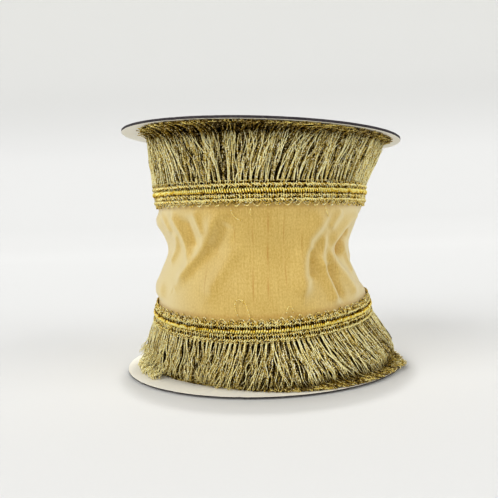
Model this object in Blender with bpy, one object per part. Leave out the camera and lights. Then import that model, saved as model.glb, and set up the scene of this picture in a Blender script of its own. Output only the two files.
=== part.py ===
"""Reel of wide ribbon with a braid and a thread fringe along both edges, standing on end.

The reel's axis is Z. The origin is the centre of the lower flange's underside, and the
front of the reel, where the photo looks at it, faces -Y. Azimuths are in degrees round the
axis, 0 at the front and growing towards +X. Tables give their lengths in millimetres.
"""

import math
import random

import bmesh
import bpy
from mathutils import Vector

MM = 0.001
GAP = 0.3 * MM
SHARP_ANGLE = 35.0

# Board flanges
FLANGE_RADIUS = 58.6 * MM
BOARD = 1.0 * MM
FLANGE_SIDES = 72
TOP_CENTRE = Vector((1.5, 1.2, 95.4)) * MM
TOP_FALL_TO_RIGHT = 4.0
TOP_FALL_TO_BACK = 0.92

# Braid, measured along the ribbon from the middle of its centre cord
BRAID_THICKNESS = 0.8 * MM
BRAID_EDGE_THICKNESS = 0.55 * MM
CORD_HEIGHT = 1.45 * MM
CORD_HALF_WIDTH = 1.1 * MM
CORD_TWIST = 0.12 * MM
SCALLOP_DEPTH = 0.5 * MM
BRAID_STEPS = 120
LOWER_BRAID_TO_RIBBON = 4.6 * MM
LOWER_BRAID_TO_FRINGE = 4.6 * MM
UPPER_BRAID_TO_RIBBON = 5.9 * MM
UPPER_BRAID_TO_FRINGE = 4.0 * MM

# Heading strip that the outer turn's locks grow from
STRIP_HEIGHT = 1.2 * MM
STRIP_THICKNESS = 1.2 * MM

# Outer turn's locks
LOCKS = 90
LOCK_ROOT_WIDTH = 2.2 * MM
LOCK_THICKNESS = 1.2 * MM
LOCK_RIDGE_SHARE = 0.6
LOCK_SWAY = 0.35
LOCK_UNEVENNESS = 0.5 * MM
LOCK_BOW = 1.15

# Wound ribbon
ROLL_STEPS = 80
RIBBON_ROWS = 13
EDGE_EASE = 12.0
UPPER_FLARE = 0.10
LOWER_FLARE = 0.16

# Inner turns' fringe, a lumpy slab pressed against each flange
SLAB_STEPS = 72
SLAB_NECK_INSET = 0.9 * MM
SLAB_FOOT_HEIGHT = 3.2 * MM
SLAB_FOOT_OUT = 0.6 * MM
SLAB_RIM_THICKNESS = 1.1 * MM
SLAB_LUMP = 0.5 * MM
SLAB_LOCK_RISE = 0.35 * MM
SLAB_LOCK_TAPER = 0.45

# A lock's sections past its root, by their share of the way to the tip
LOCK_SECTIONS = (
    {"share": 0.35, "width": 2.6},
    {"share": 0.70, "width": 2.8},
    {"share": 1.00, "width": 2.1},
)

# Braid lines and wound radius round the reel, heights at the middle of each cord
EDGE_ROWS = (
    {"azimuth": -180, "lower_cord": 26.8, "upper_cord": 71.5, "lower_radius": 44.6, "upper_radius": 44.0},
    {"azimuth": -135, "lower_cord": 26.0, "upper_cord": 72.4, "lower_radius": 44.7, "upper_radius": 43.9},
    {"azimuth": -90, "lower_cord": 24.7, "upper_cord": 73.1, "lower_radius": 45.2, "upper_radius": 43.4},
    {"azimuth": -45, "lower_cord": 22.2, "upper_cord": 73.2, "lower_radius": 44.3, "upper_radius": 44.2},
    {"azimuth": 0, "lower_cord": 21.5, "upper_cord": 72.7, "lower_radius": 43.8, "upper_radius": 44.5},
    {"azimuth": 45, "lower_cord": 23.1, "upper_cord": 71.8, "lower_radius": 44.3, "upper_radius": 44.2},
    {"azimuth": 90, "lower_cord": 25.6, "upper_cord": 71.0, "lower_radius": 44.7, "upper_radius": 43.9},
    {"azimuth": 135, "lower_cord": 26.6, "upper_cord": 70.9, "lower_radius": 44.7, "upper_radius": 43.8},
)

# Drawn-in waist of the ribbon round the reel
WAIST_ROWS = (
    {"azimuth": -180, "height": 50.0, "depth": 3.6, "reach": 11.0},
    {"azimuth": -135, "height": 50.0, "depth": 3.8, "reach": 10.0},
    {"azimuth": -90, "height": 50.0, "depth": 3.9, "reach": 7.6},
    {"azimuth": -45, "height": 51.0, "depth": 3.6, "reach": 10.0},
    {"azimuth": 0, "height": 49.0, "depth": 2.8, "reach": 12.0},
    {"azimuth": 45, "height": 48.5, "depth": 4.6, "reach": 12.5},
    {"azimuth": 85, "height": 47.2, "depth": 6.6, "reach": 13.0},
    {"azimuth": 130, "height": 49.5, "depth": 4.4, "reach": 12.0},
)

# Main folds of the ribbon, each a straight run from its upper to its lower end
FOLD_ROWS = (
    {"azimuth_1": -51, "height_1": 63, "azimuth_2": -44, "height_2": 48, "half_width": 2.8, "lift": 1.0},
    {"azimuth_1": -43, "height_1": 62, "azimuth_2": -39, "height_2": 51, "half_width": 2.8, "lift": -0.9},
    {"azimuth_1": -23, "height_1": 64, "azimuth_2": -33, "height_2": 51, "half_width": 2.8, "lift": 1.3},
    {"azimuth_1": -33, "height_1": 51, "azimuth_2": -49, "height_2": 40, "half_width": 2.8, "lift": 1.2},
    {"azimuth_1": -52, "height_1": 57, "azimuth_2": -63, "height_2": 45, "half_width": 2.8, "lift": 0.8},
    {"azimuth_1": -12, "height_1": 52, "azimuth_2": -28, "height_2": 36, "half_width": 3.0, "lift": 0.7},
    {"azimuth_1": 34, "height_1": 62, "azimuth_2": 24, "height_2": 50, "half_width": 2.8, "lift": 1.3},
    {"azimuth_1": 24, "height_1": 50, "azimuth_2": 20, "height_2": 34, "half_width": 2.8, "lift": 1.1},
    {"azimuth_1": 28, "height_1": 51, "azimuth_2": 26, "height_2": 38, "half_width": 2.6, "lift": -1.2},
    {"azimuth_1": 28, "height_1": 49, "azimuth_2": 41, "height_2": 28, "half_width": 2.8, "lift": 1.2},
    {"azimuth_1": 39, "height_1": 42, "azimuth_2": 45, "height_2": 30, "half_width": 2.6, "lift": -1.0},
    {"azimuth_1": 39, "height_1": 49, "azimuth_2": 58, "height_2": 30, "half_width": 2.8, "lift": 1.1},
    {"azimuth_1": 60, "height_1": 61, "azimuth_2": 42, "height_2": 50, "half_width": 2.8, "lift": 1.1},
    {"azimuth_1": 60, "height_1": 57, "azimuth_2": 51, "height_2": 47, "half_width": 3.0, "lift": -1.9},
    {"azimuth_1": 60, "height_1": 48, "azimuth_2": 66, "height_2": 38, "half_width": 3.0, "lift": 1.0},
    {"azimuth_1": 104, "height_1": 62, "azimuth_2": 98, "height_2": 40, "half_width": 3.0, "lift": 1.2},
    {"azimuth_1": 118, "height_1": 60, "azimuth_2": 124, "height_2": 36, "half_width": 3.4, "lift": -1.3},
    {"azimuth_1": 152, "height_1": 64, "azimuth_2": 142, "height_2": 42, "half_width": 3.2, "lift": 1.1},
    {"azimuth_1": 176, "height_1": 52, "azimuth_2": 186, "height_2": 34, "half_width": 3.4, "lift": -1.0},
    {"azimuth_1": -152, "height_1": 64, "azimuth_2": -160, "height_2": 40, "half_width": 3.0, "lift": 1.1},
    {"azimuth_1": -128, "height_1": 58, "azimuth_2": -118, "height_2": 36, "half_width": 3.2, "lift": -1.2},
    {"azimuth_1": -98, "height_1": 62, "azimuth_2": -74, "height_2": 62, "half_width": 3.2, "lift": 1.0},
    {"azimuth_1": -100, "height_1": 35, "azimuth_2": -70, "height_2": 34, "half_width": 3.6, "lift": 1.1},
)

# How the outer turn's locks end at each flange: off is the clearance to the flange, and
# sweep turns the tips round the reel in degrees
UPPER_TIP_ROWS = (
    {"azimuth": -180, "radius": 49.5, "off": 3.2, "sweep": 2.0},
    {"azimuth": -135, "radius": 47.8, "off": 3.2, "sweep": -2.0},
    {"azimuth": -90, "radius": 46.6, "off": 3.4, "sweep": -3.0},
    {"azimuth": -45, "radius": 47.8, "off": 3.2, "sweep": -4.0},
    {"azimuth": -10, "radius": 48.8, "off": 2.9, "sweep": 4.0},
    {"azimuth": 20, "radius": 49.2, "off": 2.9, "sweep": 5.0},
    {"azimuth": 55, "radius": 50.4, "off": 2.9, "sweep": 4.0},
    {"azimuth": 90, "radius": 52.0, "off": 3.0, "sweep": 3.0},
    {"azimuth": 135, "radius": 50.8, "off": 3.2, "sweep": 4.0},
)
LOWER_TIP_ROWS = (
    {"azimuth": -180, "radius": 51.6, "off": 3.2, "sweep": 3.0},
    {"azimuth": -135, "radius": 52.4, "off": 3.4, "sweep": -2.0},
    {"azimuth": -90, "radius": 52.4, "off": 3.6, "sweep": -3.0},
    {"azimuth": -60, "radius": 50.2, "off": 2.0, "sweep": -2.0},
    {"azimuth": -25, "radius": 49.4, "off": 1.8, "sweep": -6.0},
    {"azimuth": 0, "radius": 53.0, "off": 2.8, "sweep": -4.0},
    {"azimuth": 20, "radius": 53.6, "off": 3.0, "sweep": 6.0},
    {"azimuth": 60, "radius": 53.8, "off": 3.2, "sweep": 6.0},
    {"azimuth": 90, "radius": 54.8, "off": 3.6, "sweep": 4.0},
    {"azimuth": 135, "radius": 53.2, "off": 3.4, "sweep": 4.0},
)

# How far the inner turns' fringe spreads over each flange: its slab, then its rim locks
UPPER_SPREAD_ROWS = (
    {"azimuth": -180, "slab": 49.0, "locks": 52.0},
    {"azimuth": -90, "slab": 49.0, "locks": 52.6},
    {"azimuth": -45, "slab": 48.4, "locks": 51.4},
    {"azimuth": 0, "slab": 48.6, "locks": 51.6},
    {"azimuth": 45, "slab": 49.2, "locks": 52.2},
    {"azimuth": 90, "slab": 51.0, "locks": 54.6},
    {"azimuth": 135, "slab": 50.0, "locks": 53.0},
)
LOWER_SPREAD_ROWS = (
    {"azimuth": -180, "slab": 50.0, "locks": 53.0},
    {"azimuth": -135, "slab": 49.6, "locks": 53.6},
    {"azimuth": -90, "slab": 49.0, "locks": 53.0},
    {"azimuth": -60, "slab": 46.2, "locks": 48.2},
    {"azimuth": -25, "slab": 46.0, "locks": 48.0},
    {"azimuth": 0, "slab": 51.6, "locks": 54.8},
    {"azimuth": 30, "slab": 54.8, "locks": 58.2},
    {"azimuth": 60, "slab": 55.0, "locks": 58.4},
    {"azimuth": 90, "slab": 53.6, "locks": 57.6},
    {"azimuth": 135, "slab": 51.4, "locks": 55.0},
)

GOLD_THREAD = (0.45, 0.36, 0.14)
GOLD_BRAID = (0.62, 0.47, 0.14)
SHADED_THREAD = (0.24, 0.18, 0.07)
RIBBON_GOLD = (0.72, 0.55, 0.27)
BOARD_WHITE = (0.80, 0.79, 0.75)


def around(rows, column, azimuth):
    """Value of a table's column at an azimuth, on a smooth closed curve through its rows."""
    count = len(rows)
    first = rows[0]["azimuth"]
    turn = (azimuth - first) % 360.0 + first
    index = max(i for i in range(count) if rows[i]["azimuth"] <= turn)
    places = []
    for step in (-1, 0, 1, 2):
        laps, row = divmod(index + step, count)
        places.append((rows[row]["azimuth"] + 360.0 * laps, rows[row][column]))
    (at_before, before), (start, here), (end, there), (at_after, after) = places
    span = end - start
    t = (turn - start) / span
    slope_here = (there - before) / (end - at_before) * span
    slope_there = (after - here) / (at_after - start) * span
    return (
        here * (1 + 2 * t) * (1 - t) ** 2
        + slope_here * t * (1 - t) ** 2
        + there * t * t * (3 - 2 * t)
        - slope_there * t * t * (1 - t)
    )


def polar(radius, azimuth, height):
    """Point at a radius, an azimuth in degrees and a height."""
    angle = math.radians(azimuth)
    return Vector((radius * math.sin(angle), -radius * math.cos(angle), height))


def upper_flange_height(radius, azimuth):
    """Height of the upper flange's underside above a point of the plan."""
    place = polar(radius, azimuth, 0.0) - TOP_CENTRE
    to_right = math.tan(math.radians(TOP_FALL_TO_RIGHT)) * place.x
    to_back = math.tan(math.radians(TOP_FALL_TO_BACK)) * place.y
    return TOP_CENTRE.z - to_right - to_back


def lower_end(azimuth):
    """Height of the wound ribbon's lower end, below the lower heading strip."""
    cord = around(EDGE_ROWS, "lower_cord", azimuth) * MM
    return cord - LOWER_BRAID_TO_FRINGE - GAP - STRIP_HEIGHT


def upper_end(azimuth):
    """Height of the wound ribbon's upper end, above the upper heading strip."""
    cord = around(EDGE_ROWS, "upper_cord", azimuth) * MM
    return cord + UPPER_BRAID_TO_FRINGE + GAP + STRIP_HEIGHT


def fold_lift(azimuth, height):
    """Sum of the folds' lifts at a point of the ribbon, in metres."""
    lift = 0.0
    for fold in FOLD_ROWS:
        top = Vector((fold["azimuth_1"], fold["height_1"]))
        foot = Vector((fold["azimuth_2"], fold["height_2"]))
        across = math.radians(1.0) * around(EDGE_ROWS, "upper_radius", azimuth)
        turn = (azimuth - foot.x + 180.0) % 360.0 - 180.0
        run = Vector(((top.x - foot.x) * across, top.y - foot.y))
        place = Vector((turn * across, height / MM - foot.y))
        along = place.dot(run) / run.length_squared
        nearest = run * min(max(along, 0.0), 1.0)
        distance = (place - nearest).length / fold["half_width"]
        lift += fold["lift"] * MM * math.exp(-distance * distance)
    return lift


def ribbon_radius(azimuth, height):
    """Radius of the wound ribbon's outer turn at an azimuth and a height."""
    lower_cord = around(EDGE_ROWS, "lower_cord", azimuth) * MM
    upper_cord = around(EDGE_ROWS, "upper_cord", azimuth) * MM
    lower = around(EDGE_ROWS, "lower_radius", azimuth) * MM
    upper = around(EDGE_ROWS, "upper_radius", azimuth) * MM
    bare_low = lower_cord + LOWER_BRAID_TO_RIBBON
    bare_high = upper_cord - UPPER_BRAID_TO_RIBBON
    if height <= bare_low:
        return lower + LOWER_FLARE * (lower_cord - height)
    if height >= bare_high:
        return upper + UPPER_FLARE * (height - upper_cord)
    share = (height - bare_low) / (bare_high - bare_low)
    low_edge = lower - LOWER_FLARE * LOWER_BRAID_TO_RIBBON
    high_edge = upper - UPPER_FLARE * UPPER_BRAID_TO_RIBBON
    straight = low_edge + (high_edge - low_edge) * share
    free = min(1.0, EDGE_EASE * share * (1.0 - share))
    waist = (height / MM - around(WAIST_ROWS, "height", azimuth)) / around(WAIST_ROWS, "reach", azimuth)
    drawn_in = around(WAIST_ROWS, "depth", azimuth) * MM * math.exp(-waist * waist)
    return straight + free * (fold_lift(azimuth, height) - drawn_in)


def add_object(name, mesh_builder, material, parts):
    """Make an object of a finished bmesh, with its faces pointing out."""
    bmesh.ops.recalc_face_normals(mesh_builder, faces=mesh_builder.faces)
    mesh = bpy.data.meshes.new(name)
    mesh_builder.to_mesh(mesh)
    mesh_builder.free()
    piece = bpy.data.objects.new(name, mesh)
    dress(piece, material, parts)
    return piece


def dress(piece, material, parts):
    """Give an object its material and smooth shading, and put it in the parts' collection."""
    piece.data.materials.clear()
    piece.data.materials.append(material)
    piece.data.shade_smooth()
    piece.data.set_sharp_from_angle(angle=math.radians(SHARP_ANGLE))
    for holder in list(piece.users_collection):
        holder.objects.unlink(piece)
    parts.objects.link(piece)


def bridge(mesh_builder, ring_a, ring_b):
    """Join two closed rings of the same number of points with faces."""
    count = len(ring_a)
    for i in range(count):
        j = (i + 1) % count
        mesh_builder.faces.new((ring_a[i], ring_a[j], ring_b[j], ring_b[i]))


def fan(mesh_builder, ring, centre):
    """Close a ring of points with a fan of faces about a centre."""
    hub = mesh_builder.verts.new(centre)
    count = len(ring)
    for i in range(count):
        mesh_builder.faces.new((ring[i], ring[(i + 1) % count], hub))


def make_ring(mesh_builder, points):
    """Add a list of points as new corners."""
    return [mesh_builder.verts.new(point) for point in points]


def flange(name, centre, fall_right, fall_back, material, parts):
    """One round of board about a centre on its lower face."""
    bpy.ops.mesh.primitive_cylinder_add(vertices=FLANGE_SIDES, radius=FLANGE_RADIUS, depth=BOARD)
    board = bpy.context.active_object
    board.name = name
    board.rotation_euler = (-math.radians(fall_back), math.radians(fall_right), 0.0)
    board.location = centre + board.rotation_euler.to_matrix() @ Vector((0.0, 0.0, BOARD / 2.0))
    dress(board, material, parts)
    return board


def ribbon_roll(material, parts):
    """The wound ribbon: one closed drum with its flared ends, waist and folds."""
    mesh_builder = bmesh.new()
    azimuths = [360.0 * i / ROLL_STEPS for i in range(ROLL_STEPS)]
    rings = []
    for row in range(-2, RIBBON_ROWS + 3):
        points = []
        for azimuth in azimuths:
            lower_cord = around(EDGE_ROWS, "lower_cord", azimuth) * MM
            upper_cord = around(EDGE_ROWS, "upper_cord", azimuth) * MM
            bare_low = lower_cord + LOWER_BRAID_TO_RIBBON
            bare_high = upper_cord - UPPER_BRAID_TO_RIBBON
            if row < 0:
                height = (lower_end(azimuth), lower_cord)[row + 2]
            elif row > RIBBON_ROWS:
                height = (upper_cord, upper_end(azimuth))[row - RIBBON_ROWS - 1]
            else:
                height = bare_low + (bare_high - bare_low) * row / RIBBON_ROWS
            points.append(polar(ribbon_radius(azimuth, height), azimuth, height))
        rings.append(make_ring(mesh_builder, points))
    for ring_a, ring_b in zip(rings, rings[1:]):
        bridge(mesh_builder, ring_a, ring_b)
    fan(mesh_builder, rings[0], mean_point(rings[0]))
    fan(mesh_builder, rings[-1], mean_point(rings[-1]))
    return add_object("ribbon_roll", mesh_builder, material, parts)


def mean_point(ring):
    """Mean of a ring's corners."""
    return sum((corner.co for corner in ring), Vector()) / len(ring)


def braid(name, cord_column, to_ribbon, to_fringe, material, parts):
    """One braid: a band round the roll, scalloped on its ribbon side, with a raised centre cord.

    to_ribbon and to_fringe are signed distances along the ribbon from the cord's middle.
    """
    mesh_builder = bmesh.new()
    inward = 1.0 if to_ribbon > 0 else -1.0
    sections = []
    for i in range(BRAID_STEPS):
        azimuth = 360.0 * i / BRAID_STEPS
        cord = around(EDGE_ROWS, cord_column, azimuth) * MM
        scallop = inward * SCALLOP_DEPTH * (i % 2)
        crest = CORD_HEIGHT + CORD_TWIST * (1 if i % 2 else -1)
        profile = (
            (to_ribbon + scallop, 0.0),
            (to_ribbon + scallop, BRAID_EDGE_THICKNESS),
            (inward * CORD_HALF_WIDTH, BRAID_THICKNESS),
            (0.0, crest),
            (-inward * CORD_HALF_WIDTH, BRAID_THICKNESS),
            (to_fringe, BRAID_THICKNESS),
            (to_fringe, 0.0),
        )
        points = []
        for along, out in profile:
            height = cord + along
            points.append(polar(braid_bed(cord_column, azimuth, height) + out, azimuth, height))
        sections.append(make_ring(mesh_builder, points))
    for i, section in enumerate(sections):
        bridge(mesh_builder, section, sections[(i + 1) % BRAID_STEPS])
    return add_object(name, mesh_builder, material, parts)


def braid_bed(cord_column, azimuth, height):
    """Radius of the surface that a braid or heading strip lies on, a gap above the ribbon."""
    cord = around(EDGE_ROWS, cord_column, azimuth) * MM
    if cord_column == "lower_cord":
        return around(EDGE_ROWS, "lower_radius", azimuth) * MM + LOWER_FLARE * (cord - height) + GAP
    return around(EDGE_ROWS, "upper_radius", azimuth) * MM + UPPER_FLARE * (height - cord) + GAP


def tip_height(upper, radius, azimuth, off):
    """Height of a point at a clearance off one of the flanges' inner faces."""
    if upper:
        return upper_flange_height(radius, azimuth) - off
    return BOARD + off


def lock_sections(upper, azimuth, root_in, root_out, draw):
    """Centres, outward normals and widths of a lock's sections past its root.

    The lock leaves its strip along the ribbon and bends out to its tip near the flange.
    """
    rows = UPPER_TIP_ROWS if upper else LOWER_TIP_ROWS
    sway = draw.uniform(-LOCK_SWAY, LOCK_SWAY)
    uneven = draw.uniform(0.0, LOCK_UNEVENNESS)
    tip_azimuth = azimuth + around(rows, "sweep", azimuth) + sway
    tip_radius = around(rows, "radius", azimuth) * MM - uneven
    root = (root_in + root_out) / 2.0
    off = around(rows, "off", azimuth) * MM
    tip_z = tip_height(upper, tip_radius, tip_azimuth, off)
    root_radius = math.hypot(root.x, root.y)
    sections = []
    for row in LOCK_SECTIONS:
        share = row["share"]
        out = share ** LOCK_BOW
        turn = share * share * (3.0 - 2.0 * share)
        radius = root_radius + (tip_radius - root_radius) * out
        height = root.z + (tip_z - root.z) * share
        at = azimuth + (tip_azimuth - azimuth) * turn
        lean = LOCK_BOW * share ** (LOCK_BOW - 1.0) * (tip_radius - root_radius)
        outward = Vector((abs(tip_z - root.z), -lean if upper else lean)).normalized()
        sections.append((polar(radius, at, height), at, outward, row["width"] * MM))
    return sections


def fringe(name, upper, material, parts):
    """The outer turn's fringe: a narrow heading strip round the roll with locks fused into it."""
    draw = random.Random(11 if upper else 23)
    mesh_builder = bmesh.new()
    cord_column = "upper_cord" if upper else "lower_cord"
    side = 1.0 if upper else -1.0
    to_fringe = UPPER_BRAID_TO_FRINGE if upper else LOWER_BRAID_TO_FRINGE
    step = 360.0 / LOCKS
    roots = []
    heads = []
    for i in range(LOCKS):
        azimuth = step * i
        cord = around(EDGE_ROWS, cord_column, azimuth) * MM
        near = cord + side * (to_fringe + GAP)
        far = near + side * STRIP_HEIGHT
        near_in = braid_bed(cord_column, azimuth, near)
        far_in = braid_bed(cord_column, azimuth, far)
        half_turn = math.degrees(LOCK_ROOT_WIDTH / 2.0 / far_in)
        roots.append(make_ring(mesh_builder, (
            polar(far_in, azimuth - half_turn, far),
            polar(far_in, azimuth + half_turn, far),
            polar(far_in + STRIP_THICKNESS, azimuth, far),
        )))
        heads.append(make_ring(mesh_builder, (
            polar(near_in, azimuth, near),
            polar(near_in + STRIP_THICKNESS, azimuth, near),
        )))
    for i in range(LOCKS):
        left, right, ridge = roots[i]
        next_left, _, next_ridge = roots[(i + 1) % LOCKS]
        head_in, head_out = heads[i]
        next_head_in, next_head_out = heads[(i + 1) % LOCKS]
        mesh_builder.faces.new((left, right, head_in))
        mesh_builder.faces.new((right, next_left, next_head_in, head_in))
        mesh_builder.faces.new((ridge, next_ridge, next_head_out, head_out))
        mesh_builder.faces.new((head_out, head_in, next_head_in, next_head_out))
        mesh_builder.faces.new((right, next_left, next_ridge, ridge))
        root_in = (left.co + right.co) / 2.0
        last = roots[i]
        for centre, at, outward, width in lock_sections(upper, step * i, root_in, ridge.co, draw):
            across = polar(1.0, at + 90.0, 0.0) * width / 2.0
            out = polar(outward.x, at, outward.y) * LOCK_THICKNESS
            section = make_ring(mesh_builder, (
                centre - out * (1.0 - LOCK_RIDGE_SHARE) - across,
                centre - out * (1.0 - LOCK_RIDGE_SHARE) + across,
                centre + out * LOCK_RIDGE_SHARE,
            ))
            bridge(mesh_builder, last, section)
            last = section
        mesh_builder.faces.new(last)
    return add_object(name, mesh_builder, material, parts)


def inner_fringe(name, upper, material, parts):
    """The inner turns' fringe: a lumpy slab from the roll's end to a flange, with rim locks."""
    draw = random.Random(37 if upper else 41)
    rows = UPPER_SPREAD_ROWS if upper else LOWER_SPREAD_ROWS
    mesh_builder = bmesh.new()
    rings = [[], [], [], [], []]
    for i in range(SLAB_STEPS):
        azimuth = 360.0 * i / SLAB_STEPS
        end = upper_end(azimuth) + GAP if upper else lower_end(azimuth) - GAP
        neck = ribbon_radius(azimuth, upper_end(azimuth) if upper else lower_end(azimuth)) - SLAB_NECK_INSET
        lump = draw.uniform(-SLAB_LUMP, SLAB_LUMP)
        rim = around(rows, "slab", azimuth) * MM + lump
        foot = neck + SLAB_FOOT_OUT
        foot_height = tip_height(upper, foot, azimuth, GAP + SLAB_FOOT_HEIGHT + 2.0 * lump)
        places = (
            (neck, end),
            (neck - 0.5 * abs(lump), (end + foot_height) / 2.0),
            (foot, foot_height),
            (rim, tip_height(upper, rim, azimuth, GAP + SLAB_RIM_THICKNESS)),
            (rim, tip_height(upper, rim, azimuth, GAP)),
        )
        for ring, (radius, height) in zip(rings, places):
            ring.append(mesh_builder.verts.new(polar(radius, azimuth, height)))
    for ring_a, ring_b in zip(rings, rings[1:]):
        bridge(mesh_builder, ring_a, ring_b)
    fan(mesh_builder, rings[0], mean_point(rings[0]))
    fan(mesh_builder, rings[-1], mean_point(rings[-1]))
    mesh_builder.faces.ensure_lookup_table()
    rim_faces = list(mesh_builder.faces)[3 * SLAB_STEPS:4 * SLAB_STEPS:2]
    grow_rim_locks(mesh_builder, rim_faces, upper, rows, draw)
    return add_object(name, mesh_builder, material, parts)


def grow_rim_locks(mesh_builder, rim_faces, upper, rows, draw):
    """Draw a short tapering lock out of each of the slab's chosen rim faces."""
    grown = bmesh.ops.extrude_discrete_faces(mesh_builder, faces=rim_faces)["faces"]
    for face in grown:
        centre = face.calc_center_median()
        azimuth = math.degrees(math.atan2(centre.x, -centre.y))
        reach = around(rows, "locks", azimuth) * MM - draw.uniform(0.0, 2.0 * SLAB_LUMP)
        turn = draw.uniform(-1.0, 1.0)
        off = GAP + SLAB_RIM_THICKNESS / 2.0 + SLAB_LOCK_RISE * (0.0 if upper else 1.0)
        tip = polar(reach, azimuth + turn, tip_height(upper, reach, azimuth, off))
        for corner in face.verts:
            corner.co = tip + (corner.co - centre) * SLAB_LOCK_TAPER


def principled(name, colour, roughness, metallic):
    """A plain finish."""
    material = bpy.data.materials.new(name)
    material.use_nodes = True
    shader = material.node_tree.nodes["Principled BSDF"]
    shader.inputs["Base Color"].default_value = (*colour, 1.0)
    shader.inputs["Roughness"].default_value = roughness
    shader.inputs["Metallic"].default_value = metallic
    return material


def clear_scene():
    """Remove every object of the open file."""
    for thing in list(bpy.data.objects):
        bpy.data.objects.remove(thing, do_unlink=True)


def main():
    """Build the reel."""
    clear_scene()
    parts = bpy.data.collections.new("fringed_ribbon_reel")
    bpy.context.scene.collection.children.link(parts)
    board = principled("board", BOARD_WHITE, 0.6, 0.0)
    cloth = principled("ribbon", RIBBON_GOLD, 0.7, 0.0)
    braided = principled("braid", GOLD_BRAID, 0.4, 0.6)
    thread = principled("fringe_thread", GOLD_THREAD, 0.45, 0.5)
    shaded = principled("inner_fringe_thread", SHADED_THREAD, 0.5, 0.4)
    flange("flange_bottom", Vector(), 0.0, 0.0, board, parts)
    flange("flange_top", TOP_CENTRE, TOP_FALL_TO_RIGHT, TOP_FALL_TO_BACK, board, parts)
    ribbon_roll(cloth, parts)
    braid("braid_bottom", "lower_cord", LOWER_BRAID_TO_RIBBON, -LOWER_BRAID_TO_FRINGE, braided, parts)
    braid("braid_top", "upper_cord", -UPPER_BRAID_TO_RIBBON, UPPER_BRAID_TO_FRINGE, braided, parts)
    fringe("fringe_bottom", False, thread, parts)
    fringe("fringe_top", True, thread, parts)
    inner_fringe("inner_fringe_bottom", False, shaded, parts)
    inner_fringe("inner_fringe_top", True, shaded, parts)


main()
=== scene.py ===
"""Looks of a reel of wide gold ribbon with a braid and a metallic thread fringe on both edges.

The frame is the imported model's: the origin is the centre of the lower board's underside, +Z
is up and the front faces -Y. Azimuths are in degrees round the reel's axis, 0 at the front
and growing towards +X. Sizes in this file are in millimetres, and turn into metres where
they enter the scene.
"""

import logging
import math
from dataclasses import dataclass
from enum import Enum, IntEnum

import bpy
import numpy as np
from mathutils import Euler, Matrix, Vector


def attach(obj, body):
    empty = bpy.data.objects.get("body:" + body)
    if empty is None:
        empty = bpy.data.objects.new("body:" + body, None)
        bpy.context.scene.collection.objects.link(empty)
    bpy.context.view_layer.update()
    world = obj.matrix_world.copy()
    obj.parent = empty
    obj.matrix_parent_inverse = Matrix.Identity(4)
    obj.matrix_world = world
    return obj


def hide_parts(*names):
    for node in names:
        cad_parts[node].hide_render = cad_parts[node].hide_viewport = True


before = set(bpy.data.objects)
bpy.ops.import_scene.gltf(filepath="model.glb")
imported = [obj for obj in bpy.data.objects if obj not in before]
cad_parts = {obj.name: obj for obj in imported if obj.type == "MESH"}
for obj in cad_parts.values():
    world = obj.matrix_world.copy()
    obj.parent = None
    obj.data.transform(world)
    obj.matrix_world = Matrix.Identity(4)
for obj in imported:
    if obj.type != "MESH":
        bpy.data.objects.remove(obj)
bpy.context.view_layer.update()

MM = 0.001
TURN = 2.0 * math.pi
# Between the roll and the bed of what is sewn on it.
GAP = 0.3
# Length of one degree round the roll.
DEGREE = 0.77
# Locks of fringe round the reel, and turns of a chain line of the braid.
LOCKS = 149
BODY = "root"
LOG = logging.getLogger("reel")

Colour = tuple[float, float, float, float]
Socket = bpy.types.NodeSocket


class Edge(Enum):
    """The two long edges of the ribbon, as they stand on the reel."""

    UPPER = "top"
    LOWER = "bottom"


class Yarn(IntEnum):
    """A braid's yarns, by their numbers on its mesh."""

    GROUND = 0
    CORD = 1
    CHAIN = 2


def shade(red: int, green: int, blue: int) -> Colour:
    """Turn a screen colour, 0 to 255, into the linear colour that a shader takes.

    Args:
        red: Red on the screen.
        green: Green on the screen.
        blue: Blue on the screen.

    Returns:
        The linear colour with full alpha.
    """
    parts = [value / 255.0 for value in (red, green, blue)]
    linear = [p / 12.92 if p <= 0.04045 else ((p + 0.055) / 1.055) ** 2.4 for p in parts]
    return (*linear, 1.0)


def smooth(share: np.ndarray) -> np.ndarray:
    """Ease a share from 0 to 1 in and out."""
    held = np.clip(share, 0.0, 1.0)
    return held * held * (3.0 - 2.0 * held)


def arc(share: np.ndarray) -> np.ndarray:
    """One arc over a share: 0 at both ends and 1 in the middle."""
    return np.sin(np.pi * share)


def bent(start: np.ndarray, bend: np.ndarray, end: np.ndarray, share: np.ndarray) -> np.ndarray:
    """A value that goes from a start to an end in one curve that is drawn towards a bend."""
    return start * (1 - share) ** 2 + 2 * bend * share * (1 - share) + end * share ** 2


def along(steps: int) -> np.ndarray:
    """Shares of a thread's length at its steps, as one row."""
    return np.linspace(0.0, 1.0, steps + 1)[None]


def spaced(count: int) -> np.ndarray:
    """Azimuths of columns that stand evenly round the reel."""
    return np.arange(count) * 360.0 / count


def wrapped(angle: np.ndarray) -> np.ndarray:
    """Angles in degrees, brought between -180 and 180."""
    return (angle + 180.0) % 360.0 - 180.0


def stacked(*parts: np.ndarray | float) -> np.ndarray:
    """An array whose last axis holds the parts in turn."""
    return np.stack(np.broadcast_arrays(*parts), axis=-1)


def polar(radius: np.ndarray, azimuth: np.ndarray, height: np.ndarray) -> np.ndarray:
    """Points at radii, azimuths in degrees and heights, with x, y, z on the last axis."""
    angle = np.radians(azimuth)
    return stacked(radius * np.sin(angle), -radius * np.cos(angle), height)


def placed(name: str, data: bpy.types.ID) -> bpy.types.Object:
    """Put an object into the scene.

    Args:
        name: Its name.
        data: Its mesh, lamp or lens.

    Returns:
        The object.
    """
    made = bpy.data.objects.new(name, data)
    bpy.context.scene.collection.objects.link(made)
    return made


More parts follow.
